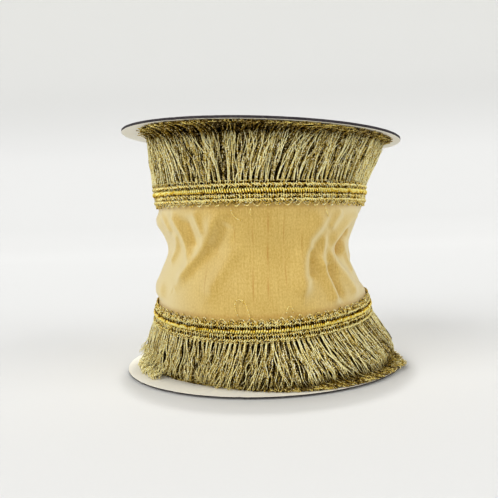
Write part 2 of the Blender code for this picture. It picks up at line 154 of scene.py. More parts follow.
@dataclass(frozen=True)
class Chance:
    """Seeded chance for some threads: each call gives every thread values of its own, as columns."""

    draw: np.random.Generator
    count: int

    def even(self, low: float = 0.0, high: float = 1.0, wide: int = 1) -> np.ndarray:
        """Values that are as likely anywhere between two ends."""
        return self.draw.uniform(low, high, (self.count, wide))

    def bell(self, spread: float = 1.0, middle: float = 0.0, wide: int = 1) -> np.ndarray:
        """Values that crowd round a middle."""
        return self.draw.normal(middle, spread, (self.count, wide))

    def one_of(self, values: tuple[float, ...]) -> np.ndarray:
        """One of some values for each thread."""
        return self.draw.choice(values, (self.count, 1))


@dataclass(frozen=True)
class RingTable:
    """A value that changes round the reel: azimuths in degrees, and the value at each."""

    places: tuple[float, ...]
    values: tuple[float, ...]

    def __call__(self, azimuth: np.ndarray) -> np.ndarray:
        """Read the table on a smooth closed curve through its rows.

        Args:
            azimuth: Azimuths in degrees.

        Returns:
            The values there.
        """
        places, values = np.array(self.places, float), np.array(self.values, float)
        turn = (np.asarray(azimuth, float) - places[0]) % 360.0 + places[0]
        index = np.searchsorted(places, turn, side="right") - 1
        near = []
        for step in (-1, 0, 1, 2):
            laps, row = np.divmod(index + step, len(places))
            near.append((places[row] + 360.0 * laps, values[row]))
        (at_before, before), (start, here), (end, there), (at_after, after) = near
        span = end - start
        t = (turn - start) / span
        slope_here = (there - before) / (end - at_before) * span
        slope_there = (after - here) / (at_after - start) * span
        return (
            here * (1 + 2 * t) * (1 - t) ** 2
            + slope_here * t * (1 - t) ** 2
            + there * t * t * (3 - 2 * t)
            - slope_there * t * t * (1 - t)
        )


@dataclass(frozen=True)
class BoardPlace:
    """Where a board lies: the centre of its lower face, and how far it falls, in degrees."""

    centre: tuple[float, float, float]
    fall_right: float = 0.0
    fall_back: float = 0.0

    def matrix(self) -> np.ndarray:
        """The turn from a level board to this one, as a 3 by 3 array."""
        turn = Euler((-math.radians(self.fall_back), math.radians(self.fall_right), 0.0))
        return np.array(turn.to_matrix())

    def slopes(self) -> tuple[float, float]:
        """How far the board falls for each mm to the right and to the back."""
        return math.tan(math.radians(self.fall_right)), math.tan(math.radians(self.fall_back))


EIGHTHS = (-180, -135, -90, -45, 0, 45, 90, 135)
WAIST_PLACES = (-180, -135, -90, -45, 0, 45, 85, 130)


@dataclass(frozen=True)
class EdgeForm:
    """How one edge of the ribbon lies on the reel. Distances "towards" the fringe start at the cord."""

    edge: Edge
    cord: RingTable
    radius: RingTable
    flare: float
    to_ribbon: float
    to_fringe: float
    chain_to_ribbon: float
    tip_radius: RingTable
    tip_sweep: RingTable
    tip_clearance: RingTable
    spread: RingTable
    board: BoardPlace
    tip_flare: RingTable = RingTable((-180, 0, 90), (0.0, 0.0, 0.0))
    board_thickness: float = 1.0

    @property
    def name(self) -> str:
        """The edge's name in the names of pieces and nodes."""
        return self.edge.value

    @property
    def outwards(self) -> float:
        """1 where the fringe is above the cord, and -1 where it is below."""
        return 1.0 if self.edge is Edge.UPPER else -1.0

    def facing_out(self, rows: list[np.ndarray]) -> np.ndarray:
        """Rows of points that start at the ribbon, in the order that turns their faces outwards."""
        return np.stack(rows if self.edge is Edge.UPPER else rows[::-1])

    def lay(self, azimuth: np.ndarray, towards: np.ndarray, out: np.ndarray) -> np.ndarray:
        """Points on the bed that the braid and the fringe's heading lie on.

        Args:
            azimuth: Azimuths in degrees.
            towards: Distances towards the fringe from the middle of the cord.
            out: Heights off the bed.

        Returns:
            The points.
        """
        radius = self.radius(azimuth) + self.flare * towards + GAP + out
        return polar(radius, azimuth, self.cord(azimuth) + self.outwards * towards)

    def off_board(self, radius: np.ndarray, azimuth: np.ndarray, clearance: np.ndarray) -> np.ndarray:
        """Heights of points at a clearance off the board's inner face.

        Args:
            radius: Radii of the points.
            azimuth: Azimuths in degrees.
            clearance: Distances to the board.

        Returns:
            The heights.
        """
        if self.edge is Edge.LOWER:
            return self.board_thickness + clearance
        place = polar(radius, azimuth, 0.0) - np.array(self.board.centre)
        right, back = self.board.slopes()
        return self.board.centre[2] - right * place[..., 0] - back * place[..., 1] - clearance

    def over_board(self, radius: np.ndarray, azimuth: np.ndarray, clearance: np.ndarray) -> np.ndarray:
        """Points at a clearance off the board's inner face."""
        return polar(radius, azimuth, self.off_board(radius, azimuth, clearance))


UPPER = EdgeForm(
    edge=Edge.UPPER,
    cord=RingTable(EIGHTHS, (71.5, 72.4, 73.1, 73.2, 72.7, 71.8, 71.0, 70.9)),
    radius=RingTable(EIGHTHS, (44.0, 43.9, 43.4, 44.2, 44.5, 44.2, 43.9, 43.8)),
    flare=0.10,
    to_ribbon=5.9,
    to_fringe=4.0,
    chain_to_ribbon=3.45,
    tip_radius=RingTable(
        (-180, -135, -90, -45, -10, 20, 55, 90, 135),
        (49.5, 47.8, 46.2, 47.8, 49.6, 51.4, 53.0, 52.2, 51.2),
    ),
    tip_sweep=RingTable(
        (-180, -135, -90, -45, -22, -8, 15, 40, 90, 135),
        (2.0, -2.0, -3.0, -4.0, -2.0, 5.0, 8.0, 3.0, 3.0, 4.0),
    ),
    tip_clearance=RingTable(
        (-180, -90, -60, -45, -30, 0, 20, 45, 90, 135),
        (2.4, 1.6, 2.4, 3.2, 3.6, 2.0, 1.0, 0.7, 1.0, 2.0),
    ),
    spread=RingTable(
        (-180, -110, -90, -75, -60, -40, 0, 35, 65, 90, 135),
        (52.0, 48.4, 46.8, 47.6, 52.0, 55.8, 56.8, 57.4, 56.8, 54.0, 53.0),
    ),
    board=BoardPlace((1.5, 1.2, 95.4), fall_right=4.0, fall_back=0.92),
)
LOWER = EdgeForm(
    edge=Edge.LOWER,
    cord=RingTable(EIGHTHS, (26.8, 26.0, 24.7, 22.2, 21.5, 23.1, 25.6, 26.6)),
    radius=RingTable(EIGHTHS, (44.6, 44.7, 45.2, 44.3, 43.8, 44.3, 44.7, 44.7)),
    flare=0.16,
    to_ribbon=4.6,
    to_fringe=4.6,
    chain_to_ribbon=1.85,
    tip_radius=RingTable(
        (-180, -135, -90, -60, -25, 0, 20, 60, 90, 135),
        (52.0, 52.0, 50.6, 49.2, 49.2, 53.0, 54.0, 54.6, 54.0, 53.6),
    ),
    tip_sweep=RingTable(
        (-180, -135, -90, -60, -35, -14, 2, 14, 40, 90, 135),
        (3.0, -2.0, -3.0, -1.0, -2.0, -5.5, -1.0, 5.0, 8.5, 4.0, 4.0),
    ),
    tip_clearance=RingTable(
        (-180, -90, -60, -25, 0, 20, 45, 75, 100, 135),
        (2.4, 3.6, 2.2, 0.6, 0.8, 1.0, 1.5, 2.4, 2.4, 2.4),
    ),
    spread=RingTable(
        (-180, -135, -90, -60, -25, 0, 18, 34, 60, 78, 95, 135),
        (53.0, 53.0, 51.0, 47.6, 48.0, 54.0, 57.4, 58.9, 58.9, 58.0, 55.6, 54.4),
    ),
    board=BoardPlace((0.0, 0.0, 0.0)),
    tip_flare=RingTable(
        (-180, -120, -90, -60, -40, 0, 45, 80, 120),
        (0.6, 1.2, 2.8, 2.2, 0.6, 0.2, 0.3, 0.3, 0.6),
    ),
)


class Reading:
    """A number that a material works out over a surface, as a socket that takes part in sums."""

    def __init__(self, recipe: "Recipe", socket: Socket) -> None:
        """Keep the socket and the recipe that it belongs to."""
        self.recipe, self.socket = recipe, socket

    def worked(self, operation: str, *terms: "Reading | float") -> "Reading":
        """Add a Math node over some terms.

        Args:
            operation: The Math node's operation.
            terms: Its terms, in order.

        Returns:
            The node's result.
        """
        made = self.recipe.node("ShaderNodeMath", {"operation": operation}, dict(enumerate(terms)))
        return Reading(self.recipe, made.outputs[0])

    def __add__(self, other: "Reading | float") -> "Reading":
        """This plus the other."""
        return self.worked("ADD", self, other)

    def __sub__(self, other: "Reading | float") -> "Reading":
        """This less the other."""
        return self.worked("SUBTRACT", self, other)

    def __rsub__(self, other: float) -> "Reading":
        """The other less this."""
        return self.worked("SUBTRACT", other, self)

    def __mul__(self, other: "Reading | float") -> "Reading":
        """This times the other."""
        return self.worked("MULTIPLY", self, other)

    def __truediv__(self, other: "Reading | float") -> "Reading":
        """This over the other."""
        return self.worked("DIVIDE", self, other)

    def __rtruediv__(self, other: float) -> "Reading":
        """The other over this."""
        return self.worked("DIVIDE", other, self)

    __radd__ = __add__
    __rmul__ = __mul__

    def sine(self) -> "Reading":
        """The sine of this, in radians."""
        return self.worked("SINE", self)

    def held(self) -> "Reading":
        """This, kept from 0 to 1."""
        return self.worked("MINIMUM", self.worked("MAXIMUM", self, 0.0), 1.0)

    def hump(self, middle: float, half_width: float) -> "Reading":
        """A soft hump that is 1 at its middle and has sunk to about a third at its half width."""
        off = (self - middle) / half_width
        return self.worked("EXPONENT", off * off * -1.0)


class Recipe:
    """A material that is being put together from nodes."""

    def __init__(self, name: str) -> None:
        """Start a material with one Principled shader.

        Args:
            name: The material's name.
        """
        self.material = bpy.data.materials.new(name)
        self.material.use_nodes = True
        self.tree = self.material.node_tree
        self.shader = self.tree.nodes["Principled BSDF"]

    def feed(self, target: Socket, value: object) -> None:
        """Give an input what feeds it.

        Args:
            target: The input.
            value: A reading or a socket, which is linked, or a plain value.
        """
        source = value.socket if isinstance(value, Reading) else value
        if isinstance(source, Socket):
            self.tree.links.new(source, target)
        else:
            target.default_value = source

    def node(self, kind: str, settings: dict | None = None, inputs: dict | None = None) -> bpy.types.Node:
        """Add a node.

        Args:
            kind: The node's type.
            settings: Its settings. "stops" holds a ramp's places and colours.
            inputs: Values or links of its sockets, by name or number.

        Returns:
            The node.
        """
        made = self.tree.nodes.new(kind)
        for name, value in (settings or {}).items():
            if name == "stops":
                self.set_stops(made.color_ramp, value)
            else:
                setattr(made, name, value)
        for name, value in (inputs or {}).items():
            self.feed(made.inputs[name], value)
        return made

    @staticmethod
    def set_stops(ramp: bpy.types.ColorRamp, stops: tuple[tuple[float, Colour], ...]) -> None:
        """Give a colour ramp its stops.

        Args:
            ramp: The ramp.
            stops: Places and colours, in order.
        """
        while len(ramp.elements) < len(stops):
            ramp.elements.new(1.0)
        for element, (place, colour) in zip(ramp.elements, stops):
            element.position, element.color = place, colour

    def carried(self, name: str, output: str = "Fac") -> Reading:
        """What the mesh carries under a name."""
        return Reading(self, self.node("ShaderNodeAttribute", {"attribute_name": name}).outputs[output])

    def laid(self) -> tuple[Reading, ...]:
        """Where a point lies along and across its own yarn or cloth, in mm, and its yarn's number."""
        parts = self.node("ShaderNodeSeparateXYZ", inputs={0: self.carried("laid", "Vector")})
        return tuple(Reading(self, output) for output in parts.outputs)

    def place(self) -> Socket:
        """The point's place in the piece, in mm."""
        inputs = {0: self.node("ShaderNodeTexCoord").outputs["Object"], "Scale": 1.0 / MM}
        return self.node("ShaderNodeVectorMath", {"operation": "SCALE"}, inputs).outputs[0]

    def vector(self, x: object, y: object) -> Socket:
        """Two readings as a vector."""
        return self.node("ShaderNodeCombineXYZ", inputs={0: x, 1: y}).outputs[0]

    def noise(self, where: Socket, scale: float = 1.0, detail: float = 2.0, rough: float = 0.5) -> Reading:
        """Noise over a vector in mm.

        Args:
            where: The vector.
            scale: Features to the mm.
            detail: Octaves.
            rough: How much each octave adds.

        Returns:
            The noise, 0 to 1.
        """
        inputs = {"Vector": where, "Scale": scale, "Detail": detail, "Roughness": rough}
        return Reading(self, self.node("ShaderNodeTexNoise", inputs=inputs).outputs["Fac"])

    def ramp(self, share: Reading, stops: tuple[tuple[float, Colour], ...]) -> Socket:
        """The colour of a ramp at a share."""
        return self.node("ShaderNodeValToRGB", {"stops": stops}, {0: share}).outputs["Color"]

    def mixed(self, share: Reading, first: object, second: object) -> Socket:
        """Mix two colours, of which the second shows by a share."""
        return self.node("ShaderNodeMix", {"data_type": "RGBA"}, {0: share, 6: first, 7: second}).outputs[2]

    def relief(self, height: Reading, depth: float, strength: float = 1.0) -> Socket:
        """A normal that is bumped by a height of 0 to 1 with a depth in mm."""
        inputs = {"Height": height, "Distance": depth * MM, "Strength": strength}
        return self.node("ShaderNodeBump", inputs=inputs).outputs["Normal"]

    def done(self, **sockets: object) -> bpy.types.Material:
        """Feed the Principled shader and end the recipe.

        Args:
            sockets: Values or links of its sockets, by their names in lower case.

        Returns:
            The material.
        """
        for name, value in sockets.items():
            title = name.replace("_", " ").title().replace("Ior", "IOR")
            self.feed(self.shader.inputs[title], value)
        return self.material


@dataclass(frozen=True)
class LinerFinish:
    """White paper liner of the boards: faintly mottled, with the tooth of uncoated paper."""

    name: str = "board_liner"
    clean: Colour = shade(247, 245, 237)
    soiled: Colour = shade(243, 239, 227)
    mottle_scale: float = 0.06
    fibre_scale: float = 2.4
    tooth: float = 0.03
    roughness: float = 0.55

    def material(self) -> bpy.types.Material:
        """Make the finish.

        Returns:
            The material.
        """
        recipe = Recipe(self.name)
        where = recipe.place()
        mottle = recipe.noise(where, self.mottle_scale, 3.0)
        fibre = recipe.noise(where, self.fibre_scale, 3.0, 0.7)
        stain = (mottle * 1.5 - 0.25 + (fibre - 0.5) * 0.5).held()
        return recipe.done(
            base_color=recipe.mixed(stain, self.clean, self.soiled),
            roughness=self.roughness + mottle * 0.2,
            normal=recipe.relief(fibre, self.tooth, 0.6),
        )


@dataclass(frozen=True)
class CutEdgeFinish:
    """Die-cut edge of grey board: dark plies with a few burst white fibres."""

    name: str = "board_cut_edge"
    ply: Colour = shade(44, 38, 44)
    worn: Colour = shade(92, 86, 86)
    burst: Colour = shade(232, 228, 220)
    ply_scale: float = 0.9
    burst_scale: float = 0.35
    depth: float = 0.12
    roughness: float = 0.7
    worn_from: float = 0.42
    burst_from: float = 0.7

    def material(self) -> bpy.types.Material:
        """Make the finish.

        Returns:
            The material.
        """
        recipe = Recipe(self.name)
        where = recipe.place()
        ply = recipe.noise(where, self.ply_scale, 4.0, 0.7)
        fleck = recipe.noise(where, self.burst_scale)
        plied = recipe.mixed(((ply - self.worn_from) * 2.6).held(), self.ply, self.worn)
        return recipe.done(
            base_color=recipe.mixed(((fleck - self.burst_from) * 14.0).held(), plied, self.burst),
            roughness=self.roughness + ply * 0.2,
            normal=recipe.relief(ply, self.depth),
        )


@dataclass(frozen=True)
class RibbonFinish:
    """Gold taffeta: a fine plain weave, a soft sheen that is partly painted as a paler base colour at
    grazing angles, and slubs.

    Slubs are given by their place across and up the ribbon, half their length and half their width.
    """

    name: str = "gold_taffeta"
    light: Colour = shade(215, 187, 111)
    # The slubs' own colour, which is also the colour of the painted shade by the braids and in the folds'
    # valleys.
    body: Colour = shade(191, 158, 76)
    slub_and_painted_shade: Colour = shade(178, 124, 34)
    # Painted sheen: the paler colour that the base colour takes at grazing angles.
    pale: Colour = shade(228, 211, 160)
    yarn_pitch: float = 0.34
    weave_depth: float = 0.06
    roughness: float = 0.36
    # Where the painted sheen starts by facing, and how much of the paler colour it mixes in.
    sheen_from: float = 0.12
    sheen: float = 0.9
    slubs: tuple[tuple[float, float, float, float], ...] = (
        (2.1, 60.5, 3.4, 0.34),
        (1.7, 49.0, 4.0, 0.32),
        (1.4, 37.0, 3.2, 0.36),
        (-4.4, 38.0, 5.0, 0.32),
        (-3.9, 56.0, 4.0, 0.16),
        (8.2, 58.0, 5.0, 0.18),
        (8.6, 41.0, 4.0, 0.2),
        (-11.0, 57.0, 4.0, 0.16),
        (15.5, 52.0, 5.0, 0.14),
        (-24.0, 40.0, 5.0, 0.16),
        (33.0, 47.0, 6.0, 0.16),
        (71.0, 50.0, 8.0, 0.2),
        (-88.0, 46.0, 8.0, 0.2),
        (120.0, 50.0, 8.0, 0.18),
    )

    def material(self) -> bpy.types.Material:
        """Make the finish.

        Returns:
            The material.
        """
        recipe = Recipe(self.name)
        across, up, _ = recipe.laid()
        streak = recipe.noise(recipe.vector(across * 1.6, up * 0.09), detail=4.0, rough=0.6)
        fine = recipe.noise(recipe.vector(across * 1.7, up * 1.1), detail=3.0, rough=0.65)
        cloud = recipe.noise(recipe.vector(across, up), 0.06)
        slubs = sum(
            across.hump(at, width) * up.hump(middle, reach) for at, middle, reach, width in self.slubs
        )
        turn = TURN / self.yarn_pitch
        weave = (across * turn).sine() * (up * turn).sine() * 0.5 + 0.5
        tone = ((streak - 0.5) * 1.3 + (fine - 0.5) * 2.4 + (cloud - 0.5) + 0.5).held()
        # Painted sheen: the base colour turns paler where the cloth faces away from the view.
        layer = recipe.node("ShaderNodeLayerWeight", inputs={"Blend": 0.5})
        facing = Reading(recipe, layer.outputs["Facing"])
        sheen = ((facing - self.sheen_from) * 2.2).held() * self.sheen
        toned = recipe.mixed(sheen, recipe.mixed(tone, self.light, self.body), self.pale)
        height = weave * 0.5 + streak * 0.3 + fine * 0.6 + slubs * 0.4
        return recipe.done(
            # The carried tone is painted shade, dark by the braids and in the folds' valleys, and mixes
            # towards the slubs' colour.
            base_color=recipe.mixed((slubs * 0.6 + recipe.carried("tone") * 0.25).held(), toned, self.slub_and_painted_shade),
            roughness=self.roughness + fine * 0.16,
            specular_ior_level=0.6,
            normal=recipe.relief(height, self.weave_depth),
            sheen_weight=0.2,
            sheen_roughness=0.35,
            sheen_tint=shade(255, 240, 205),
        )


@dataclass(frozen=True)
class YarnFinish:
    """Metallic yarn: each thread has its own tone from dark to bright, with glints of foil that are painted
    in as a near-white base colour, where the metal also rises and the roughness falls.
    """

    name: str
    dark: Colour
    body: Colour
    bright: Colour
    painted_glint: Colour = shade(255, 253, 236)
    metallic: float = 0.36
    roughness: float = 0.34
    edge_tint: Colour = shade(206, 170, 92)
    ply: float = 0.8
    flicker: float = 2.9
    painted_glint_from: float = 0.54
    painted_glint_share: float = 0.85

    def material(self) -> bpy.types.Material:
        """Make the finish.

        Returns:
            The material.
        """
        recipe = Recipe(self.name)
        run, _, number = recipe.laid()
        twist = (run * (TURN / self.ply) + number * 2.4).sine() * 0.5 + 0.5
        patch = recipe.noise(recipe.place(), 0.5)
        foil = recipe.noise(recipe.vector(run * 1.7, number * 3.1), rough=0.7)
        lit = recipe.carried("tone") + (patch - 0.5) * 0.9 + (twist - 0.5) * 0.2
        lit = (lit + (foil - 0.5) * self.flicker).held()
        threaded = recipe.ramp(lit, ((0.0, self.dark), (0.5, self.body), (1.0, self.bright)))
        # Painted glints: where the foil noise is high the base colour turns near white, along with more
        # metallic and less roughness.
        painted_glint_mask = ((foil - self.painted_glint_from) * 9.0).held() * (lit * 1.8).held() * self.painted_glint_share
        return recipe.done(
            base_color=recipe.mixed(painted_glint_mask, threaded, self.painted_glint),
            roughness=self.roughness + (1.0 - foil) * 0.2 - painted_glint_mask * 0.16,
            metallic=self.metallic + painted_glint_mask * 0.3,
            specular_ior_level=0.12,
            specular_tint=self.edge_tint,
            normal=recipe.relief(twist, 0.1, 0.5),
        )


FRINGE_YARN = YarnFinish(
    "fringe_yarn", shade(34, 18, 0), shade(214, 186, 92), shade(255, 248, 192), painted_glint_share=1.0,
)
# The inner turns' yarn is a darker copy of the fringe yarn: painted shade for threads that lie behind and
# under the outer locks.
INNER_YARN_PAINTED_SHADE = YarnFinish(
    "inner_fringe_yarn_painted_shade", shade(20, 10, 0), shade(176, 144, 52), shade(255, 238, 150), painted_glint_share=0.5,
)
CORD_YARN = YarnFinish(
    "braid_cord_yarn", shade(104, 66, 0), shade(242, 204, 62), shade(255, 246, 160), roughness=0.28,
)
BRAID_YARN = YarnFinish(
    "braid_yarn", shade(44, 22, 0), shade(232, 194, 76), shade(255, 248, 184), roughness=0.3,
)
# The braid's ground: partly its own dark colour, partly painted shade between the yarns.
GROUND_AND_SHADE_YARN = YarnFinish(
    "braid_ground_and_shade", shade(10, 4, 0), shade(40, 24, 2), shade(104, 76, 20), painted_glint_share=0.0,
)


@dataclass(frozen=True)
class FloorFinish:
    """Matt pale studio paper, a little less pale where it bends up."""

    name: str = "studio_paper"
    reach: float = 1000.0
    grain: Colour = shade(184, 184, 182)
    bend: tuple[tuple[float, Colour], ...] = (
        (0.0, shade(214, 214, 213)),
        (0.009, shade(210, 210, 209)),
        (0.039, shade(206, 206, 205)),
        (0.1, shade(205, 205, 204)),
        (0.25, shade(204, 204, 203)),
        (0.45, shade(208, 208, 206)),
        (0.83, shade(218, 218, 215)),
    )

    def material(self) -> bpy.types.Material:
        """Make the finish.

        Returns:
            The material.
        """
        recipe = Recipe(self.name)
        where = recipe.place()
        grain = recipe.noise(where, 0.8)
        height = Reading(recipe, recipe.node("ShaderNodeSeparateXYZ", inputs={0: where}).outputs[2])
        paper = recipe.ramp((height / self.reach).held(), self.bend)
        return recipe.done(
            base_color=recipe.mixed(grain * 0.06, paper, self.grain), roughness=0.9, specular_ior_level=0.1,
        )


def fill(rows: bpy.types.bpy_prop_collection, field: str, values: np.ndarray) -> None:
    """Write a field of all the rows of a mesh's collection."""
    rows.foreach_set(field, values.astype(np.float32 if values.dtype.kind == "f" else np.int32).ravel())


class Bundle:
    """Tubes and surfaces that are gathered into one mesh, with each corner's tone and lie."""

    def __init__(self) -> None:
        """Start empty."""
        self.corners: list[np.ndarray] = []
        self.tones: list[np.ndarray] = []
        self.lies: list[np.ndarray] = []
        self.faces: list[np.ndarray] = []
        self.looks: list[np.ndarray] = []
        self.count = 0

    def add(
        self, corners: np.ndarray, tone: np.ndarray, laid: np.ndarray, faces: list[np.ndarray], look: int,
    ) -> None:
        """Add corners and the faces between them.

        Args:
            corners: Points in mm.
            tone: Each corner's tone.
            laid: Each corner's place along and across its yarn or cloth, and its number.
            faces: Arrays of faces, each by its corners' places in corners.
            look: Number of the material that these faces have.
        """
        self.corners.append(corners.reshape(-1, 3))
        self.tones.append(np.broadcast_to(tone, corners.shape[:-1]).ravel())
        self.lies.append(np.broadcast_to(laid, corners.shape).reshape(-1, 3))
        for block in faces:
            self.faces.append(block.reshape(-1, block.shape[-1]) + self.count)
            self.looks.append(np.full(len(self.faces[-1]), look))
        self.count += len(self.corners[-1])

    def tubes(
        self, paths: np.ndarray, radius: np.ndarray | float, tone: np.ndarray | float, sides: int = 3,
        wound_on: np.ndarray | None = None, look: int = 0,
    ) -> None:
        """Add round threads along paths.

        Args:
            paths: Points in mm, as threads by steps by x, y, z.
            radius: Radii in mm that fit threads by steps.
            tone: Tones that fit threads by steps, which are kept from 0 to 1.
            sides: Sides of a thread's section.
            wound_on: Directions that closed paths wind about, or None for open paths.
            look: Number of the material.
        """
        threads, steps, _ = paths.shape
        closed = wound_on is not None
        if closed:
            tangent = np.roll(paths, -1, axis=1) - np.roll(paths, 1, axis=1)
        else:
            tangent = np.gradient(paths, axis=1)
        tangent /= np.linalg.norm(tangent, axis=-1, keepdims=True)
        side = np.cross(tangent, wound_on) if closed else self.carried_side(tangent)
        side /= np.linalg.norm(side, axis=-1, keepdims=True)
        front = np.cross(side, tangent)
        turn = TURN * np.arange(sides) / sides
        ring = side[:, :, None] * np.cos(turn)[:, None] + front[:, :, None] * np.sin(turn)[:, None]
        corners = paths[:, :, None] + ring * np.broadcast_to(radius, (threads, steps))[:, :, None, None]
        stretch = np.linalg.norm(np.diff(paths, axis=1, prepend=paths[:, :1]), axis=-1)
        number = np.arange(threads)[:, None, None]
        laid = stacked(np.cumsum(stretch, axis=1)[:, :, None], np.arange(sides) / sides, number)
        grid = np.arange(threads * steps * sides).reshape(threads, steps, sides)
        here = grid if closed else grid[:, :-1]
        there = np.roll(grid, -1, axis=1) if closed else grid[:, 1:]
        faces = [np.stack([here, np.roll(here, -1, axis=2), np.roll(there, -1, axis=2), there], axis=-1)]
        if not closed:
            faces += [grid[:, 0, ::-1], grid[:, -1]]
        tones = np.broadcast_to(np.clip(tone, 0.0, 1.0), (threads, steps))
        self.add(corners, tones[:, :, None], laid, faces, look)

    @staticmethod
    def carried_side(tangent: np.ndarray) -> np.ndarray:
        """Find directions square to paths that turn as little as they can along them.

        Args:
            tangent: The paths' own directions, as threads by steps by x, y, z.

        Returns:
            The directions, in the same shape.
        """
        spare = np.where(np.abs(tangent[:, :1, 2:]) < 0.9, [0.0, 0.0, 1.0], [1.0, 0.0, 0.0])
        last = np.cross(tangent[:, 0], spare[:, 0])
        sides = []
        for step in range(tangent.shape[1]):
            ahead = tangent[:, step]
            last = last - ahead * np.sum(last * ahead, axis=-1, keepdims=True)
            last = last / np.maximum(np.linalg.norm(last, axis=-1, keepdims=True), 1e-9)
            sides.append(last)
        return np.stack(sides, axis=1)

    def sheet(self, points: np.ndarray, laid: np.ndarray, tone: np.ndarray | float, look: int = 0) -> None:
        """Add a surface that closes round the reel.

        Args:
            points: Points in mm, as rows by columns by x, y, z.
            laid: Each point's place along and across the cloth, and its number.
            tone: Each point's tone.
            look: Number of the material.
        """
        grid = np.arange(points.shape[0] * points.shape[1]).reshape(points.shape[:2])
        low, high = grid[:-1], grid[1:]
        walls = np.stack([low, np.roll(low, -1, axis=1), np.roll(high, -1, axis=1), high], axis=-1)
        self.add(points, tone, laid, [walls], look)

    def piece(
        self, name: str, node: str, slot: str, materials: tuple[bpy.types.Material, ...],
        sharp: float = 180.0,
    ) -> bpy.types.Object:
        """Make the object, which rides on the reel's body.

        Args:
            name: The piece's name.
            node: The node that it stands for.
            slot: The material slot that it takes its finish from; not used.
            materials: Its materials, in the order of the looks' numbers.
            sharp: Angle in degrees from which an edge is drawn sharp.

        Returns:
            The object.
        """
        mesh = bpy.data.meshes.new(name)
        sizes = np.concatenate([np.full(len(block), block.shape[1]) for block in self.faces])
        mesh.vertices.add(self.count)
        fill(mesh.vertices, "co", np.concatenate(self.corners) * MM)
        mesh.loops.add(int(sizes.sum()))
        fill(mesh.loops, "vertex_index", np.concatenate([block.ravel() for block in self.faces]))
        mesh.polygons.add(len(sizes))
        fill(mesh.polygons, "loop_start", np.concatenate([[0], np.cumsum(sizes)[:-1]]))
        fill(mesh.polygons, "material_index", np.concatenate(self.looks))
        mesh.update(calc_edges=True)
        fill(mesh.attributes.new("tone", "FLOAT", "POINT").data, "value", np.concatenate(self.tones))
        fill(mesh.attributes.new("laid", "FLOAT_VECTOR", "POINT").data, "vector", np.concatenate(self.lies))
        mesh.validate()
        mesh.shade_smooth()
        if sharp < 180.0:
            mesh.set_sharp_from_angle(angle=math.radians(sharp))
        for material in materials:
            mesh.materials.append(material)
        made = placed(name, mesh)
        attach(made, BODY)
        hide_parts(node)
        return made


@dataclass
class EdgeWork:
    """Thread work along one edge of the ribbon, with its mesh and its seeded chance."""

    form: EdgeForm
    seed: int

    def __post_init__(self) -> None:
        """Start the mesh and the chance."""
        self.bundle, self.draw = Bundle(), np.random.default_rng(self.seed)

    def chance(self, count: int) -> Chance:
        """Chance for a number of threads."""
        return Chance(self.draw, count)


@dataclass
class Board:
    """One round flange of the reel: grey board with a white liner on both faces."""

    form: EdgeForm
    radius: float = 58.6
    sides: int = 240
    ease: float = 0.12
    warp: float = 0.08
    undercut: float = 0.0
    undercut_start: float = 46.0
    burr_start: float = 50.0
    burr_reach: float = 8.0
    nicks: tuple[tuple[float, float, float], ...] = ()
    rings: tuple[float, ...] = (0.02, 15.0, 30.0, 44.0, 52.0, 57.0)
    sharp: float = 40.0
    liner: LinerFinish = LinerFinish()
    cut_edge: CutEdgeFinish = CutEdgeFinish()
    back: LinerFinish = LinerFinish("board_back", shade(217, 214, 206), shade(204, 199, 187))

    def build(self) -> bpy.types.Object:
        """Make the board and dress it.

        Returns:
            The board.
        """
        thick, ease, shy = self.form.board_thickness, 0.3 * self.ease, self.radius - 0.3 * self.ease
        azimuth = spaced(self.sides)
        angle = np.radians(azimuth)
        burr = 0.03 * np.sin(angle * 37.0) + 0.02 * np.sin(angle * 83.0 + 1.0)
        for at, depth, width in self.nicks:
            burr -= depth * np.exp(-((wrapped(azimuth - at) / width) ** 2))
        inner = (*self.rings, self.radius - 2.0 * self.ease)
        lower = [(r, 0.0) for r in inner]
        upper = [(r, thick) for r in reversed(inner)]
        wall = [(self.radius, height) for height in (self.ease, thick / 2.0, thick - self.ease)]
        rim = [(shy, ease), *wall, (shy, thick - ease)]
        under, over = (2, 0) if self.form.edge is Edge.LOWER else (0, 2)
        bundle = Bundle()
        for profile, look in ((lower + rim[:1], under), (rim, 1), (rim[-1:] + upper, over)):
            rings = []
            for radius, height in profile:
                near_rim = smooth((radius - self.burr_start) / self.burr_reach)
                wave = self.warp * (radius / self.radius) ** 2 * np.sin(angle * 2.0 + 0.7)
                outer = smooth((radius - self.undercut_start) / (self.radius - self.undercut_start))
                lifted = self.undercut * outer * (1.0 - height / thick)
                rings.append(polar(radius + burr * near_rim, azimuth, height + lifted + wave))
            points = np.stack(rings) @ self.form.board.matrix().T + np.array(self.form.board.centre)
            bundle.sheet(points, np.zeros(3), 0.5, look)
        finishes = tuple(finish.material() for finish in (self.liner, self.cut_edge, self.back))
        name = self.form.name
        return bundle.piece(f"board_{name}", f"flange_{name}", "board", finishes, self.sharp)


